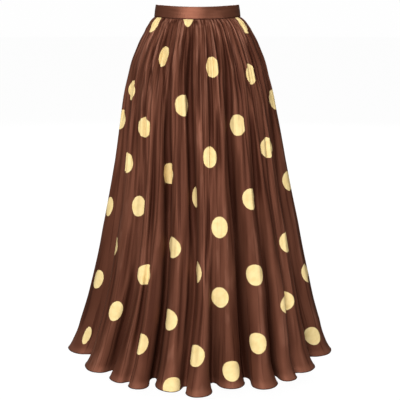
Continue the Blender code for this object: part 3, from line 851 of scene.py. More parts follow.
def satin_brown(tree, place, drop, fine, behind):
    """The right side's brown with its painted highlights and shade, before its edges and the print.
    """
    broad = ramp(tree, streaks(tree, place, "broad"), *BROAD_MIX)
    body = mix_colours(tree, broad, DEEP_BROWN, RED_BROWN)
    body = mix_colours(tree, ramp(tree, fine, *FINE_MIX), body, BROWN)
    # Painted highlights and glints on the crests, where the cloth stands at the front of its folds.
    crest = ramp(tree, behind, CREST_BEHIND, 0.0)
    for kind, colour in (("crests", HIGHLIGHT_AND_PALE_BROWN), ("glints", GLINT_BROWN)):
        lit = times(tree, crest, showing(tree, place, drop, kind))
        body = mix_colours(tree, lit, body, colour)
    # Painted shade in thin lines along the tubes.
    body = mix_colours(tree, showing(tree, place, drop, "lines"), body, PAINTED_SHADE_BROWN)
    # Painted glints and shade on the gathers, and on the puckers just under the band.
    gathered = ramp(tree, drop, GATHERED_LENGTH, PUCKER_LENGTH, 0.0, GATHERED_STRENGTH)
    puckered = ramp(tree, drop, PUCKER_LENGTH, PUCKER_FULL_AT, even=False)
    body = streaked(tree, body, place, "gathers", gathered)
    return streaked(tree, body, place, "puckers", puckered)


print("kinds of streak:", ", ".join(STREAK_PACES))

# %% [markdown]
# The cloth gets painted shade in the throats of the folds and where it goes into the waist
# seam and the hem. The hem is pressed over and machined, so a row of stitches runs just above
# it, under a painted, lighter sheen. The print comes last, because ink lies on top of the
# cloth.

# %% Edges, throats and print
# How far behind the crests the painted shade of a fold's throat starts and is full, and how dark it
# gets.
THROAT_BEHIND = (0.007, 0.030)
THROAT_STRENGTH = 0.85
HEM_FOLD = 0.0045
HEM_SHEEN_TOP, HEM_SHEEN_STRENGTH = 0.024, 0.48
WAIST_SHADE = 0.0045
EDGE_SHADE_STRENGTH = 0.8
DOT_EDGE_SOFTNESS = 0.0004
DOT_RIM_WIDTH, DOT_RIM_STRENGTH = 0.0009, 0.45
DOT_MOTTLE_SCALE, DOT_MOTTLE = 60.0, (0.4, 0.75)
DOT_THROAT_STRENGTH = 0.45


def shade_edges(tree, body, drop, from_hem, throat):
    """The body with a painted sheen above the hem, painted shade in the throats and at its edges.
    """
    # A painted sheen a little above the hem.
    top, strength = HEM_SHEEN_TOP, HEM_SHEEN_STRENGTH
    sheen_above_hem = ramp(tree, from_hem, top, HEM_FOLD, 0.0, strength, even=False)
    body = mix_colours(tree, sheen_above_hem, body, HEM_SHEEN)
    body = mix_colours(tree, throat, body, PAINTED_SHADE_BROWN)
    # Painted shade where the cloth goes into the hem and into the waist seam.
    hem = ramp(tree, from_hem, HEM_FOLD / 2, 0.0, even=False)
    waist = ramp(tree, drop, WAIST_SHADE, 0.0, even=False)
    edge = times(tree, math_node(tree, "MAXIMUM", hem, waist), EDGE_SHADE_STRENGTH)
    return mix_colours(tree, edge, body, PAINTED_SHADE_BROWN)


def in_dot(tree):
    return ramp(tree, attribute(tree, "dot_edge"), DOT_EDGE_SOFTNESS, -DOT_EDGE_SOFTNESS)


def print_dots(tree, body, metres, throat, inside):
    """The body with the yellow dots on it, each with a thin dark rim."""
    mottle = ramp(tree, noise(tree, metres, DOT_MOTTLE_SCALE, 3.0), *DOT_MOTTLE)
    dots = mix_colours(tree, mottle, DOT_YELLOW, DOT_SHADE)
    # Painted shade on the dots in the throats of the folds.
    dots = mix_colours(tree, times(tree, throat, DOT_THROAT_STRENGTH), dots, DOT_IN_THROAT)
    from_edge = math_node(tree, "ABSOLUTE", attribute(tree, "dot_edge"))
    rim = ramp(tree, from_edge, DOT_RIM_WIDTH, DOT_RIM_WIDTH / 3, 0.0, DOT_RIM_STRENGTH)
    return mix_colours(tree, rim, mix_colours(tree, inside, body, dots), DOT_RIM)


print("a dot's rim is", DOT_RIM_WIDTH * 1000, "mm wide on each side of its edge")

# %% The right side of the satin
THREAD_SCALE, THREAD_RELIEF = (2200.0, 160.0, 1.0), 0.12
HEM_STITCH_HEIGHT = 0.0060
STITCH_PITCH, STITCH_SHARE = 0.0030, 0.6
STITCH_THICKNESS = 0.0006
SATIN_BUMP = {"strength": 0.55, "distance": 0.0012}
SATIN_ROUGHNESS = (0.2, 0.8, 0.46, 0.60)
SATIN_SHINE = 0.24
SATIN_SHEEN = {"Sheen Tint": SHEEN_BROWN, "Specular Tint": SPECULAR_BROWN}


def hem_stitches(tree, metres, from_hem):
    """1 on the stitches of the machined hem."""
    across = add_node(tree, "ShaderNodeSeparateXYZ", {"Vector": metres})
    turn = math_node(tree, "FRACT", math_node(tree, "DIVIDE", across, STITCH_PITCH))
    row = math_node(tree, "COMPARE", from_hem, HEM_STITCH_HEIGHT)
    row.node.inputs[2].default_value = STITCH_THICKNESS / 2
    return times(tree, row, math_node(tree, "LESS_THAN", turn, STITCH_SHARE))


def make_satin():
    material, tree, shader = new_material("spotted_satin")
    metres, drop = cloth_metres(tree), attribute(tree, "drop")
    from_hem, behind = attribute(tree, "from_hem"), attribute(tree, "behind")
    place, inside = pleat_and_drop(tree, drop), in_dot(tree)
    fine = streaks(tree, place, "fine")
    # Painted shade in the throats of the folds, deeper where the cloth lies further behind the
    # crests.
    throat = ramp(tree, behind, *THROAT_BEHIND, 0.0, THROAT_STRENGTH, even=False)
    body = satin_brown(tree, place, drop, fine, behind)
    body = shade_edges(tree, body, drop, from_hem, throat)
    colour = print_dots(tree, body, metres, throat, inside)
    threads = noise(tree, metres, THREAD_SCALE, 1.0)
    relief = math_node(tree, "ADD", fine, times(tree, threads, THREAD_RELIEF))
    relief = math_node(tree, "SUBTRACT", relief, hem_stitches(tree, metres, from_hem))
    roughness = ramp(tree, fine, *SATIN_ROUGHNESS)
    shine = ramp(tree, inside, 0.0, 1.0, SATIN_SHINE, 0.0)
    plug(tree, shader, {"Base Color": colour, "Roughness": roughness, "Metallic": shine})
    plug(tree, shader, {"Normal": bump(tree, relief, **SATIN_BUMP), "Specular IOR Level": 0.09})
    plug(tree, shader, {"Sheen Weight": 0.03, "Sheen Roughness": 0.45, **SATIN_SHEEN})
    return material


satin = make_satin()
print("right side:", satin.name, "with", len(satin.node_tree.nodes), "nodes")

# %% The wrong side of the satin
TWILL_SCALE = 420.0
WRONG_SIDE_MIX = (0.2, 0.8)


def make_wrong_side():
    material, tree, shader = new_material("satin_wrong_side")
    fine = streaks(tree, pleat_and_drop(tree, attribute(tree, "drop")), "fine")
    body = mix_colours(tree, ramp(tree, fine, *WRONG_SIDE_MIX), WRONG_SIDE_BROWN, DEEP_BROWN)
    colour = mix_colours(tree, in_dot(tree), body, WRONG_SIDE_DOT)
    weave = {"Vector": cloth_metres(tree), "Scale": TWILL_SCALE}
    twill = add_node(tree, "ShaderNodeTexWave", weave, bands_direction="DIAGONAL")
    plug(tree, shader, {"Base Color": colour, "Normal": bump(tree, twill, 0.3, 0.0003)})
    plug(tree, shader, {"Roughness": 0.78, "Specular IOR Level": 0.25})
    return material


wrong_side = make_wrong_side()
print("wrong side:", wrong_side.name, "with", len(wrong_side.node_tree.nodes), "nodes")

# %% [markdown]
# ## The panels
#
# Each panel is one grid, shaped row by row to the rings, bottom to top. The Solidify
# modifier gives it a wall and puts the wrong side's material on the inner face. The cloth
# could be draped by a simulation, but pressed pleats follow their own lines, and a formula
# holds those exactly where the solids have them.

# %% Shaping a grid of cloth
def give_attribute(mesh, name, values):
    """A number for each vertex, which materials can read."""
    attribute = mesh.attributes.new(name, "FLOAT", "POINT")
    attribute.data.foreach_set("value", np.ascontiguousarray(values, np.float32).ravel())


def grid_mesh(name, points):
    """A grid shaped to points[row][column], and for each vertex its row and column."""
    row_count, column_count = points.shape[:2]
    bm = bmesh.new()
    bmesh.ops.create_grid(bm, x_segments=column_count - 1, y_segments=row_count - 1, size=0.5)
    mesh = bpy.data.meshes.new(name)
    bm.to_mesh(mesh)
    bm.free()
    flat = np.zeros(len(mesh.vertices) * 3, np.float32)
    mesh.vertices.foreach_get("co", flat)
    flat = flat.reshape(-1, 3)
    rows = np.rint((flat[:, 1] + 0.5) * (row_count - 1)).astype(int)
    columns = np.rint((flat[:, 0] + 0.5) * (column_count - 1)).astype(int)
    mesh.vertices.foreach_set("co", np.ascontiguousarray(points[rows, columns], np.float32).ravel())
    mesh.update()
    mesh.shade_smooth()
    return mesh, rows, columns


def give_cloth_uv(mesh, vertex_metres):
    """A UV map in metres along the cloth, from a pair of numbers for each vertex."""
    corners = np.zeros(len(mesh.loops), np.int32)
    mesh.loops.foreach_get("vertex_index", corners)
    uv = mesh.uv_layers.new(name="cloth")
    metres = np.ascontiguousarray(vertex_metres[corners], np.float32)
    uv.data.foreach_set("uv", metres.ravel())


print("a grid is shaped by", grid_mesh.__name__)


# %% Putting a piece in the scene
def add_piece(name, data, material):
    """An object that rides on the garment, with the given finish."""
    item = bpy.data.objects.new(name, data)
    data.materials.append(material)
    bpy.context.scene.collection.objects.link(item)
    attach(item, "garment")
    return item


def add_wall(item, thickness):
    """A cloth wall on the inner side of the piece."""
    wall = item.modifiers.new("wall", "SOLIDIFY")
    wall.thickness = thickness
    wall.offset = -1.0
    wall.use_even_offset = True
    return wall


def triangles(item):
    """How many triangles an object has with its modifiers on."""
    evaluated = item.evaluated_get(bpy.context.evaluated_depsgraph_get())
    mesh = evaluated.to_mesh()
    mesh.calc_loop_triangles()
    count = len(mesh.loop_triangles)
    evaluated.to_mesh_clear()
    return count


print("pieces in the scene so far:", len(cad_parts))

# %% [markdown]
# Three thin rolls finish each panel. The hem is rolled under, its darker edge a painted shade.
# A roll inside one side edge stands for the pressed seam allowance, and another round the
# waist for the pleats' tops, so that no light falls through the gaps between the pieces.

# %% The rolled hem and the seams
HEM_ROLL_RADIUS, SEAM_ROLL_RADIUS, WAIST_ROLL_RADIUS = 0.0010, 0.0008, 0.0011
ROLL_SIDES = 3
SEAM_SET_IN = 0.0019
ROLL_TWIST_SCALE, ROLL_MIX = 420.0, (0.35, 0.7)
ROLL_ROUGHNESS = (0.3, 0.7, 0.45, 0.65)


def make_roll_satin():
    """The satin where it is rolled or pressed under, twisted, in dark browns of painted shade."""
    material, tree, shader = new_material("rolled_hem_satin")
    twist = noise(tree, object_place(tree), ROLL_TWIST_SCALE, 3.0)
    # Painted shade: the rolls are coloured in dark browns.
    body = mix_colours(tree, ramp(tree, twist, *ROLL_MIX), PAINTED_SHADE_BROWN, DEEP_BROWN)
    plug(tree, shader, {"Base Color": body, "Roughness": ramp(tree, twist, *ROLL_ROUGHNESS)})
    plug(tree, shader, {"Normal": bump(tree, twist, 0.4, 0.0004), "Specular IOR Level": 0.15})
    return material


def add_roll(name, points, radius):
    """A round roll of cloth along a line of points."""
    curve = bpy.data.curves.new(name, "CURVE")
    curve.dimensions = "3D"
    curve.bevel_depth = radius
    curve.bevel_resolution = ROLL_SIDES
    curve.use_fill_caps = True
    spline = curve.splines.new("POLY")
    spline.points.add(len(points) - 1)
    for point, place in zip(spline.points, points):
        point.co = (*place, 1.0)
    return add_piece(name, curve, roll_satin)


def panel_rolls(name, rings):
    """The panel's hem roll, its seam roll, set in from its last edge, and its waist roll."""
    edge = rings[:, -1]
    outwards = edge * (1.0, 1.0, 0.0)
    outwards /= np.linalg.norm(outwards, axis=1, keepdims=True)
    return (
        add_roll(name + "_hem", rings[-1], HEM_ROLL_RADIUS),
        add_roll(name + "_seam", edge - SEAM_SET_IN * outwards, SEAM_ROLL_RADIUS),
        add_roll(name + "_waist", rings[0], WAIST_ROLL_RADIUS),
    )


roll_satin = make_roll_satin()
print("finish of the rolls:", roll_satin.name)

# %% [markdown]
# A panel keeps what its material reads as numbers at its vertices: the distance to the
# nearest dot's edge, the pleat count, the drop, how far it lies behind the crests and how far
# above the hem. Its size as cut cloth is measured at the same time.

# %% Making the panels
CLOTH_WALL = 0.0006


def make_panel(name, folds, creases, dots, first, last, flat_place):
    """One cut piece of the skirt, between two seams: its object, its rolls and its sizes."""
    places = places_between(first, last)
    rings = np.array([cloth_ring(folds, creases, share, places, flat_place) for share in ROWS])
    rings, behind = rings[..., :3], rings[..., 3]
    steps = np.linalg.norm(np.diff(rings, axis=1), axis=2)
    across = np.concatenate([np.zeros((len(ROWS), 1)), np.cumsum(steps, axis=1)], axis=1)
    widths, down = across[:, -1], down_the_cloth(ROWS)
    edge = dot_edge_distance(dots, places, across, down)

    mesh, rows, columns = grid_mesh(name, rings[::-1])
    rows = len(ROWS) - 1 - rows
    give_attribute(mesh, "dot_edge", edge[rows, columns])
    give_attribute(mesh, "pleat", places[columns])
    give_attribute(mesh, "drop", down[rows])
    give_attribute(mesh, "behind", behind[rows, columns])
    give_attribute(mesh, "from_hem", down[-1] - down[rows])
    from_middle = across - across[:, -1:] / 2
    give_cloth_uv(mesh, np.column_stack([from_middle[rows, columns], down[rows]]))
    panel = add_piece(name, mesh, satin)
    mesh.materials.append(wrong_side)
    add_wall(panel, CLOTH_WALL).material_offset = 1
    area = float(np.sum((widths[1:] + widths[:-1]) / 2 * np.diff(down)))
    return panel, panel_rolls(name, rings), widths[-1], down[-1], area


BACK = (BACK_FOLDS, BACK_CREASES, BACK_DOTS)
PANELS = (
    ("front_cloth", "front_panel", FRONT_FOLDS, FRONT_CREASES, FRONT_DOTS, 0, FRONT_PLEATS, None),
    ("back_cloth_left", "back_panel_left", *BACK, 0, BACK_SEAM_PLEAT, BACK_SEAM_PLEAT),
    ("back_cloth_right", "back_panel_right", *BACK, BACK_SEAM_PLEAT, BACK_PLEATS, BACK_SEAM_PLEAT),
)
panels = {}
for name, node, *cut in PANELS:
    panels[name] = make_panel(name, *cut)
    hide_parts(node)
    print(name, triangles(panels[name][0]), "triangles")

# %% [markdown]
# ## The waistband
#
# The band is one strip, folded along its top edge and sewn to the pleats at its foot. It is
# smooth, stiff and plain. A grid with a few rows makes its outer face, Solidify its
# thickness and Bevel its soft edges. Its foot puckers a little where each pleat is caught.

# %% The band's form
BAND_COLUMNS, BAND_ROWS = 400, 13
BAND_PUCKER, BAND_PUCKER_LENGTH = 0.00022, 0.006
FOOT_PUCKER_PACE = 11.0
BAND_WAVE_SHARE, BAND_WAVE_PACE, BAND_WAVE_DRIFT = 0.8, 1.7, 9.0
BAND_EDGE_RADIUS, BAND_EDGE_STEPS = 0.0009, 3
BAND_EDGE_ANGLE = math.radians(50.0)


def band_outline(height):
    """(half width, half depth) of the waistband's outer face at this height above its foot."""
    share = height / BAND_HEIGHT
    half_width = BAND_FOOT_HALF_WIDTH + (BAND_TOP_HALF_WIDTH - BAND_FOOT_HALF_WIDTH) * share
    half_width += BAND_CROWN * 4 * share * (1 - share)
    return half_width, half_width - BAND_FOOT_HALF_WIDTH * (1 - WAIST_DEPTH_RATIO)


def band_row(angles, height):
    """The points of the band's outer face at this height above its foot."""
    half_width, half_depth = band_outline(height)
    foot = wander(FOOT_PUCKER_PACE * angles) * np.exp(-height / BAND_PUCKER_LENGTH)
    waves = wander(BAND_WAVE_PACE * angles + BAND_WAVE_DRIFT * height)
    pucker = BAND_PUCKER * (foot + BAND_WAVE_SHARE * waves)
    x = (half_width + pucker) * np.sin(angles)
    y = -(half_depth + pucker) * np.cos(angles)
    return np.column_stack([x, y, SEAM_Z + height - waist_dip(angles)])


half_gap = math.asin(SEAM_GAP / 2 / BAND_TOP_HALF_WIDTH)
band_angles = np.linspace(-math.pi + half_gap, math.pi - half_gap, BAND_COLUMNS + 1)
band_heights = np.linspace(0.0, BAND_HEIGHT, BAND_ROWS)
band_rows = np.array([band_row(band_angles, height) for height in band_heights])
foot_steps = np.linalg.norm(np.diff(band_rows[0], axis=0), axis=1)
round_band = np.concatenate([[0.0], np.cumsum(foot_steps)])
print("the band is", round(round_band[-1] * 100, 1), "cm round its foot")

# %% The band's satin and the band
BAND_CLOUD_SCALE, BAND_CLOUD_MIX = (14.0, 120.0, 1.0), (0.3, 0.7, 0.0, 0.7)
BAND_THREAD_SCALE, BAND_THREAD_RELIEF = (160.0, 2200.0, 1.0), 0.15
# Painted shade at the band's foot and a painted highlight along its top fold: how far each reaches
# and how strong it is.
BAND_FOOT_SHADE, BAND_FOOT_STRENGTH = 0.0022, 0.8
BAND_FOLD_HIGHLIGHT, BAND_HIGHLIGHT_STRENGTH = 0.0016, 0.35
BAND_ROUGHNESS = (0.2, 0.8, 0.34, 0.44)


def make_band_satin():
    """Plain satin, with its threads along the band, painted shade at its foot and a painted
    highlight on the fold at its top.
    """
    material, tree, shader = new_material("band_satin")
    metres = cloth_metres(tree)
    clouds = noise(tree, metres, BAND_CLOUD_SCALE, 3.0)
    body = mix_colours(tree, ramp(tree, clouds, *BAND_CLOUD_MIX), BROWN, HIGHLIGHT_AND_PALE_BROWN)
    height = add_node(tree, "ShaderNodeSeparateXYZ", {"Vector": metres}, output="Y")
    # Painted shade at the band's foot, where it meets the pleats.
    foot = ramp(tree, height, BAND_FOOT_SHADE, 0.0, 0.0, BAND_FOOT_STRENGTH, even=False)
    body = mix_colours(tree, foot, body, PAINTED_SHADE_BROWN)
    # A painted highlight along the fold at the band's top.
    highlight_from = BAND_HEIGHT - BAND_FOLD_HIGHLIGHT
    wear_and_highlight = ramp(tree, height, highlight_from, BAND_HEIGHT, 0.0, BAND_HIGHLIGHT_STRENGTH, even=False)
    body = mix_colours(tree, wear_and_highlight, body, GLINT_BROWN)
    threads = noise(tree, metres, BAND_THREAD_SCALE, 1.0)
    relief = math_node(tree, "ADD", clouds, times(tree, threads, BAND_THREAD_RELIEF))
    plug(tree, shader, {"Base Color": body, "Roughness": ramp(tree, clouds, *BAND_ROUGHNESS)})
    plug(tree, shader, {"Normal": bump(tree, relief, 0.4, 0.0006), "Metallic": 0.45})
    plug(tree, shader, {"Specular IOR Level": 0.2, "Sheen Weight": 0.05})
    plug(tree, shader, {"Sheen Roughness": 0.45, **SATIN_SHEEN})
    return material


band_satin = make_band_satin()
mesh, row_of, column_of = grid_mesh("waistband_satin", band_rows)
give_cloth_uv(mesh, np.column_stack([round_band[column_of], band_heights[row_of]]))
band = add_piece("waistband_satin", mesh, band_satin)
add_wall(band, BAND_WALL)
soft_edges = band.modifiers.new("edges", "BEVEL")
soft_edges.width = BAND_EDGE_RADIUS
soft_edges.segments = BAND_EDGE_STEPS
soft_edges.limit_method = "ANGLE"
soft_edges.angle_limit = BAND_EDGE_ANGLE
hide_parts("waistband")
print("band:", triangles(band), "triangles")

# %% [markdown]
# ## Sewing inside the band
#
# The band's inner half is felled to the pleats by hand, with slanting stitches a few
# millimetres apart. The tape of the zip is caught down by two rows of running stitches. All
# threads of a row are one mesh, made of small round capsules.

# %% Round threads
THREAD_RADIUS = 0.00022
THREAD_SIDES, THREAD_RINGS = 6, 5
THREAD_BROWN = (0.062, 0.026, 0.017, 1.0)
THREAD_LIGHT = (0.120, 0.052, 0.034, 1.0)
THREAD_TWIST_SCALE = 1500.0


def capsule_matrix(start, end):
    """Where a short round thread from start to end lies, as a stretched ball."""
    start, end = Vector(start), Vector(end)
    along = end - start
    turn = along.to_track_quat("Z", "Y").to_matrix().to_4x4()
    size = (THREAD_RADIUS, THREAD_RADIUS, along.length / 2 + THREAD_RADIUS, 1.0)
    return Matrix.Translation((start + end) / 2) @ turn @ Matrix.Diagonal(size)


def balls_piece(name, matrices, material, sides=THREAD_SIDES, rings=THREAD_RINGS):
    """One piece of many small stretched balls.

    Each is made in a mesh of its own and then joined, because making them all in one mesh
    gets slower with every ball.
    """
    joined, one = bmesh.new(), bpy.data.meshes.new(name + "_one")
    for matrix in matrices:
        ball = bmesh.new()
        bmesh.ops.create_uvsphere(
            ball, u_segments=sides, v_segments=rings, radius=1.0, matrix=matrix
        )
        ball.to_mesh(one)
        ball.free()
        joined.from_mesh(one)
    bpy.data.meshes.remove(one)
    mesh = bpy.data.meshes.new(name)
    joined.to_mesh(mesh)
    joined.free()
    mesh.shade_smooth()
    return add_piece(name, mesh, material)


def make_thread():
    material, tree, shader = new_material("sewing_thread")
    twist = noise(tree, object_place(tree), THREAD_TWIST_SCALE, 2.0)
    colour = mix_colours(tree, twist, THREAD_BROWN, THREAD_LIGHT)
    plug(tree, shader, {"Base Color": colour, "Roughness": ramp(tree, twist, 0.0, 1.0, 0.5, 0.7)})
    plug(tree, shader, {"Normal": bump(tree, twist, 0.5, 0.0001), "Specular IOR Level": 0.3})
    return material


thread = make_thread()
print("thread:", 2000 * THREAD_RADIUS, "mm thick")

# %% Felling stitches
FELL_PITCH, FELL_LENGTH, FELL_SLANT = 0.0042, 0.0026, 0.35
FELL_HEIGHT = 0.0016
FELL_UNEVEN_TURN, FELL_UNEVEN_PACE = 0.004, 1.3
FELL_KEPT_CLEAR = 4


def felling_stitches():
    """Slanting stitches round the inner face of the band, just above its foot."""
    threads = []
    half_width, half_depth = (size - BAND_WALL for size in band_outline(FELL_HEIGHT))
    count = int(round_band[-1] / FELL_PITCH)
    slant = FELL_SLANT * FELL_PITCH / BAND_FOOT_HALF_WIDTH
    for k in range(FELL_KEPT_CLEAR, count - FELL_KEPT_CLEAR + 1):
        angle = -math.pi + 2 * math.pi * k / count
        angle += FELL_UNEVEN_TURN * wander(FELL_UNEVEN_PACE * k)
        ends = []
        for side in (-1, 1):
            turned = angle + side * slant
            z = SEAM_Z + FELL_HEIGHT + FELL_LENGTH / 2 * (1 + side) - waist_dip(turned)
            ends.append((half_width * math.sin(turned), -half_depth * math.cos(turned), z))
        threads.append(capsule_matrix(*ends))
    return balls_piece("band_felling", threads, thread)


felling = felling_stitches()
print("band felling:", triangles(felling), "triangles")

# %% [markdown]
# The panels' sizes laid flat are worked out and printed. The panels are flared gores: as
# wide as their hem, measured along the cloth through all its folds, and narrowing upwards.
# The straight steps of a grid cut a curve a little short, so two parts in a hundred are
# added to that width.

# %% The panels as cut cloth
CUT_SHORT_BY_STEPS = 1.02

for panel, rolls, hem_width, length, area in panels.values():
    flat, area = (round(CUT_SHORT_BY_STEPS * hem_width, 3), round(length, 3)), round(area, 3)
    print(panel.name, "was cut from", flat, "m and is", area, "square metres")

# %% [markdown]
# ## The zip
#
# The tape, the slider and the pull are solids that are shown as they are, so they get their
# finish here: a woven tape and brown lacquer that wears thin in scattered patches and
# scratches. The solids leave out the zip's teeth. A nylon coil is a row of small loops, one
# each side in turn, and they are laid on the tape's inner face, which is found by looking
# outwards from inside the skirt.

# %% Finishes for the zip
TAPE_BROWN = (0.060, 0.026, 0.018, 1.0)
TAPE_LIGHT = (0.098, 0.044, 0.030, 1.0)
LACQUER = (0.105, 0.052, 0.032, 1.0)
LACQUER_DEEP = (0.060, 0.028, 0.018, 1.0)
BARE_METAL = (0.30, 0.22, 0.16, 1.0)
RIB_SCALE, CROSS_SCALE, FUZZ_SCALE = 330.0, 520.0, 240.0
TAPE_ROUGHNESS = (0.2, 0.8, 0.72, 0.9)
CLOUD_SCALE, SCRATCH_SCALE, MARK_SCALE = 260.0, (2600.0, 2600.0, 240.0), 700.0
WORN_PATCH, SCRATCH, WORN_STRENGTH = (0.60, 0.68), (0.68, 0.74), 0.7
LACQUER_ROUGHNESS = (0.3, 0.8, 0.24, 0.42)
LACQUER_SHINE, METAL_SHINE = 0.45, 1.0
NYLON_ROUGHNESS = (0.3, 0.7, 0.28, 0.45)


def make_tape_cloth():
    """A twill tape: fine slanting ribs, crossed by the threads between them."""
    material, tree, shader = new_material("zip_tape_weave")
    place = object_place(tree)
    weave = [
        add_node(tree, "ShaderNodeTexWave", {"Vector": place, "Scale": scale}, bands_direction=way)
        for scale, way in ((RIB_SCALE, "X"), (CROSS_SCALE, "DIAGONAL"))
    ]
    weave, fuzz = times(tree, *weave), noise(tree, place, FUZZ_SCALE, 3.0)
    colour = mix_colours(tree, times(tree, weave, fuzz), TAPE_BROWN, TAPE_LIGHT)
    plug(tree, shader, {"Base Color": colour, "Roughness": ramp(tree, fuzz, *TAPE_ROUGHNESS)})
    plug(tree, shader, {"Normal": bump(tree, weave, 0.6, 0.0002), "Specular IOR Level": 0.2})
    return material


def make_lacquer():
    """Brown lacquer on cast metal, with scratches and thin patches where it is handled."""
    material, tree, shader = new_material("worn_lacquer")
    place = object_place(tree)
    clouds, scratches = noise(tree, place, CLOUD_SCALE, 5.0), noise(tree, place, SCRATCH_SCALE, 2.0)
    scratches = ramp(tree, scratches, *SCRATCH)
    wear_and_highlight = math_node(tree, "MAXIMUM", ramp(tree, clouds, *WORN_PATCH), scratches)
    colour = mix_colours(tree, clouds, LACQUER_DEEP, LACQUER)
    colour = mix_colours(tree, times(tree, wear_and_highlight, WORN_STRENGTH), colour, BARE_METAL)
    plug(tree, shader, {"Base Color": colour, "Roughness": ramp(tree, clouds, *LACQUER_ROUGHNESS)})
    shine = ramp(tree, wear_and_highlight, 0.0, 1.0, LACQUER_SHINE, METAL_SHINE)
    plug(tree, shader, {"Metallic": shine, "Normal": bump(tree, clouds, 0.25, 0.00008)})
    return material


def make_nylon():
    """Smooth brown nylon with small marks."""
    material, tree, shader = new_material("coil_nylon")
    marks = noise(tree, object_place(tree), MARK_SCALE, 3.0)
    colour = mix_colours(tree, marks, TAPE_BROWN, TAPE_LIGHT)
    plug(tree, shader, {"Base Color": colour, "Roughness": ramp(tree, marks, *NYLON_ROUGHNESS)})
    plug(tree, shader, {"Normal": bump(tree, marks, 0.2, 0.00006), "Specular IOR Level": 0.5})
    return material


tape_cloth, lacquer, nylon = make_tape_cloth(), make_lacquer(), make_nylon()
zip_finish = {"zip_tape": tape_cloth, "zip_slider": lacquer, "zip_pull": lacquer}
for node, finish in zip_finish.items():
    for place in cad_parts[node].material_slots:
        place.material = finish
    print(node, "is finished in", finish.name)

# %% The coil and the tape's stitches
TOOTH_PITCH = 0.0014
TOOTH_SIZE = (0.0017, 0.00055, 0.00042)
TOOTH_SIDES, TOOTH_RINGS = 8, 6
TOOTH_OFFSET = 0.0006
TAPE_END_MARGIN = 0.006
TAPE_STITCH_OUT = 0.0088
TAPE_STITCH_PITCH = 0.0034
TAPE_STITCH_LENGTH = 0.0021

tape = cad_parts["zip_tape"]
tape_low, tape_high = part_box("zip_tape")


def on_tape(x, z):
    """The point of the tape's inner face at this x and z."""
    to_tape = tape.matrix_world.inverted()
    start = to_tape @ Vector((x, 0.0, z))
    outwards = (to_tape.to_3x3() @ Vector((0.0, 1.0, 0.0))).normalized()
    hit, place, _, _ = tape.ray_cast(start, outwards)
    return tape.matrix_world @ place if hit else None


def make_coil():
    """The coil's loops, one on each side in turn, down the middle of the tape."""
    loops = []
    top, foot = tape_high[2] - TAPE_END_MARGIN, tape_low[2] + TAPE_END_MARGIN
    for k in range(int((top - foot) / TOOTH_PITCH * 2)):
        side = 1 if k % 2 else -1
        place = on_tape(side * TOOTH_OFFSET, top - k * TOOTH_PITCH / 2)
        if place is not None:
            loops.append(Matrix.Translation(place) @ Matrix.Diagonal((*TOOTH_SIZE, 1.0)))
    return balls_piece("zip_coil", loops, nylon, TOOTH_SIDES, TOOTH_RINGS)


def make_tape_stitches():
    """A row of running stitches down each edge of the tape."""
    threads = []
    for side in (-1, 1):
        z = tape_high[2] - TAPE_END_MARGIN
        while z > tape_low[2] + TAPE_END_MARGIN:
            x = side * TAPE_STITCH_OUT
            ends = on_tape(x, z), on_tape(x, z - TAPE_STITCH_LENGTH)
            if None not in ends:
                threads.append(capsule_matrix(*ends))
            z -= TAPE_STITCH_PITCH
    return balls_piece("zip_tape_stitches", threads, thread)


coil, tape_stitches = make_coil(), make_tape_stitches()
print("coil:", triangles(coil), "triangles, tape stitches:", triangles(tape_stitches))

# %% [markdown]
# ## Floor and light
#
# The picture is a plain studio one: a pale floor, a soft key light a little to the left, a
# weak fill low on the right and a bright surround. A third light stands behind, so that the
# back can be seen as well. The world looks white to the camera and lights the cloth softly.

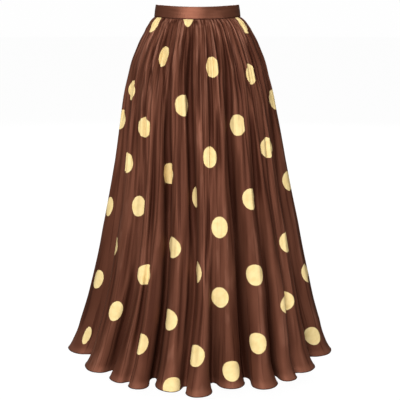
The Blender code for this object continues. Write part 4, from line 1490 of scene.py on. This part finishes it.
# %% The floor
FLOOR_Z, FLOOR_RADIUS, FLOOR_SIDES = -1.045, 30.0, 96
FLOOR_GREY = (0.1, 0.1, 0.1, 1.0)
FLOOR_GLOW = {"Emission Color": (1.0, 1.0, 1.0, 1.0), "Emission Strength": 0.965}

bm = bmesh.new()
under = Matrix.Translation((0.0, 0.0, FLOOR_Z))
bmesh.ops.create_circle(bm, cap_ends=True, segments=FLOOR_SIDES, radius=FLOOR_RADIUS, matrix=under)
floor_mesh = bpy.data.meshes.new("floor")
bm.to_mesh(floor_mesh)
bm.free()
floor = bpy.data.objects.new("floor", floor_mesh)
bpy.context.scene.collection.objects.link(floor)
material, tree, shader = new_material("pale_floor")
plug(tree, shader, {"Base Color": FLOOR_GREY, "Roughness": 0.9, "Specular IOR Level": 0.0})
plug(tree, shader, FLOOR_GLOW)
floor_mesh.materials.append(material)
floor.visible_diffuse = False
floor.visible_glossy = False

# %% Lights and world
LIGHTS = {
    "key": {"place": (-1.2, -4.6, 1.3), "size": 3.8, "power": 300.0},
    "fill": {"place": (3.0, -3.6, -0.2), "size": 2.0, "power": 45.0},
    "back_key": {"place": (0.3, 4.6, 1.9), "size": 3.0, "power": 160.0},
}
LIT_PLACE = Vector((0.0, 0.0, -0.45))
SURROUND, WHITE_BEHIND = 0.13, 0.992


def add_area_light(name, place, size, power):
    """A round soft light that points at the middle of the skirt."""
    light = bpy.data.lights.new(name, "AREA")
    light.shape = "DISK"
    light.size = size
    light.energy = power
    item = bpy.data.objects.new(name, light)
    item.location = place
    item.rotation_mode = "QUATERNION"
    item.rotation_quaternion = (LIT_PLACE - Vector(place)).to_track_quat("-Z", "Y")
    bpy.context.scene.collection.objects.link(item)


for name, light in LIGHTS.items():
    add_area_light(name, **light)
world = bpy.data.worlds.new("surround")
world.use_nodes = True
bpy.context.scene.world = world
tree = world.node_tree
seen = add_node(tree, "ShaderNodeLightPath", {}, output="Is Camera Ray")
strength = ramp(tree, seen, 0.0, 1.0, SURROUND, WHITE_BEHIND)
plug(tree, tree.nodes["Background"], {"Color": (1.0, 1.0, 1.0, 1.0), "Strength": strength})
bpy.context.scene.view_settings.view_transform = "Standard"
print("lights:", [light.name for light in bpy.data.lights])
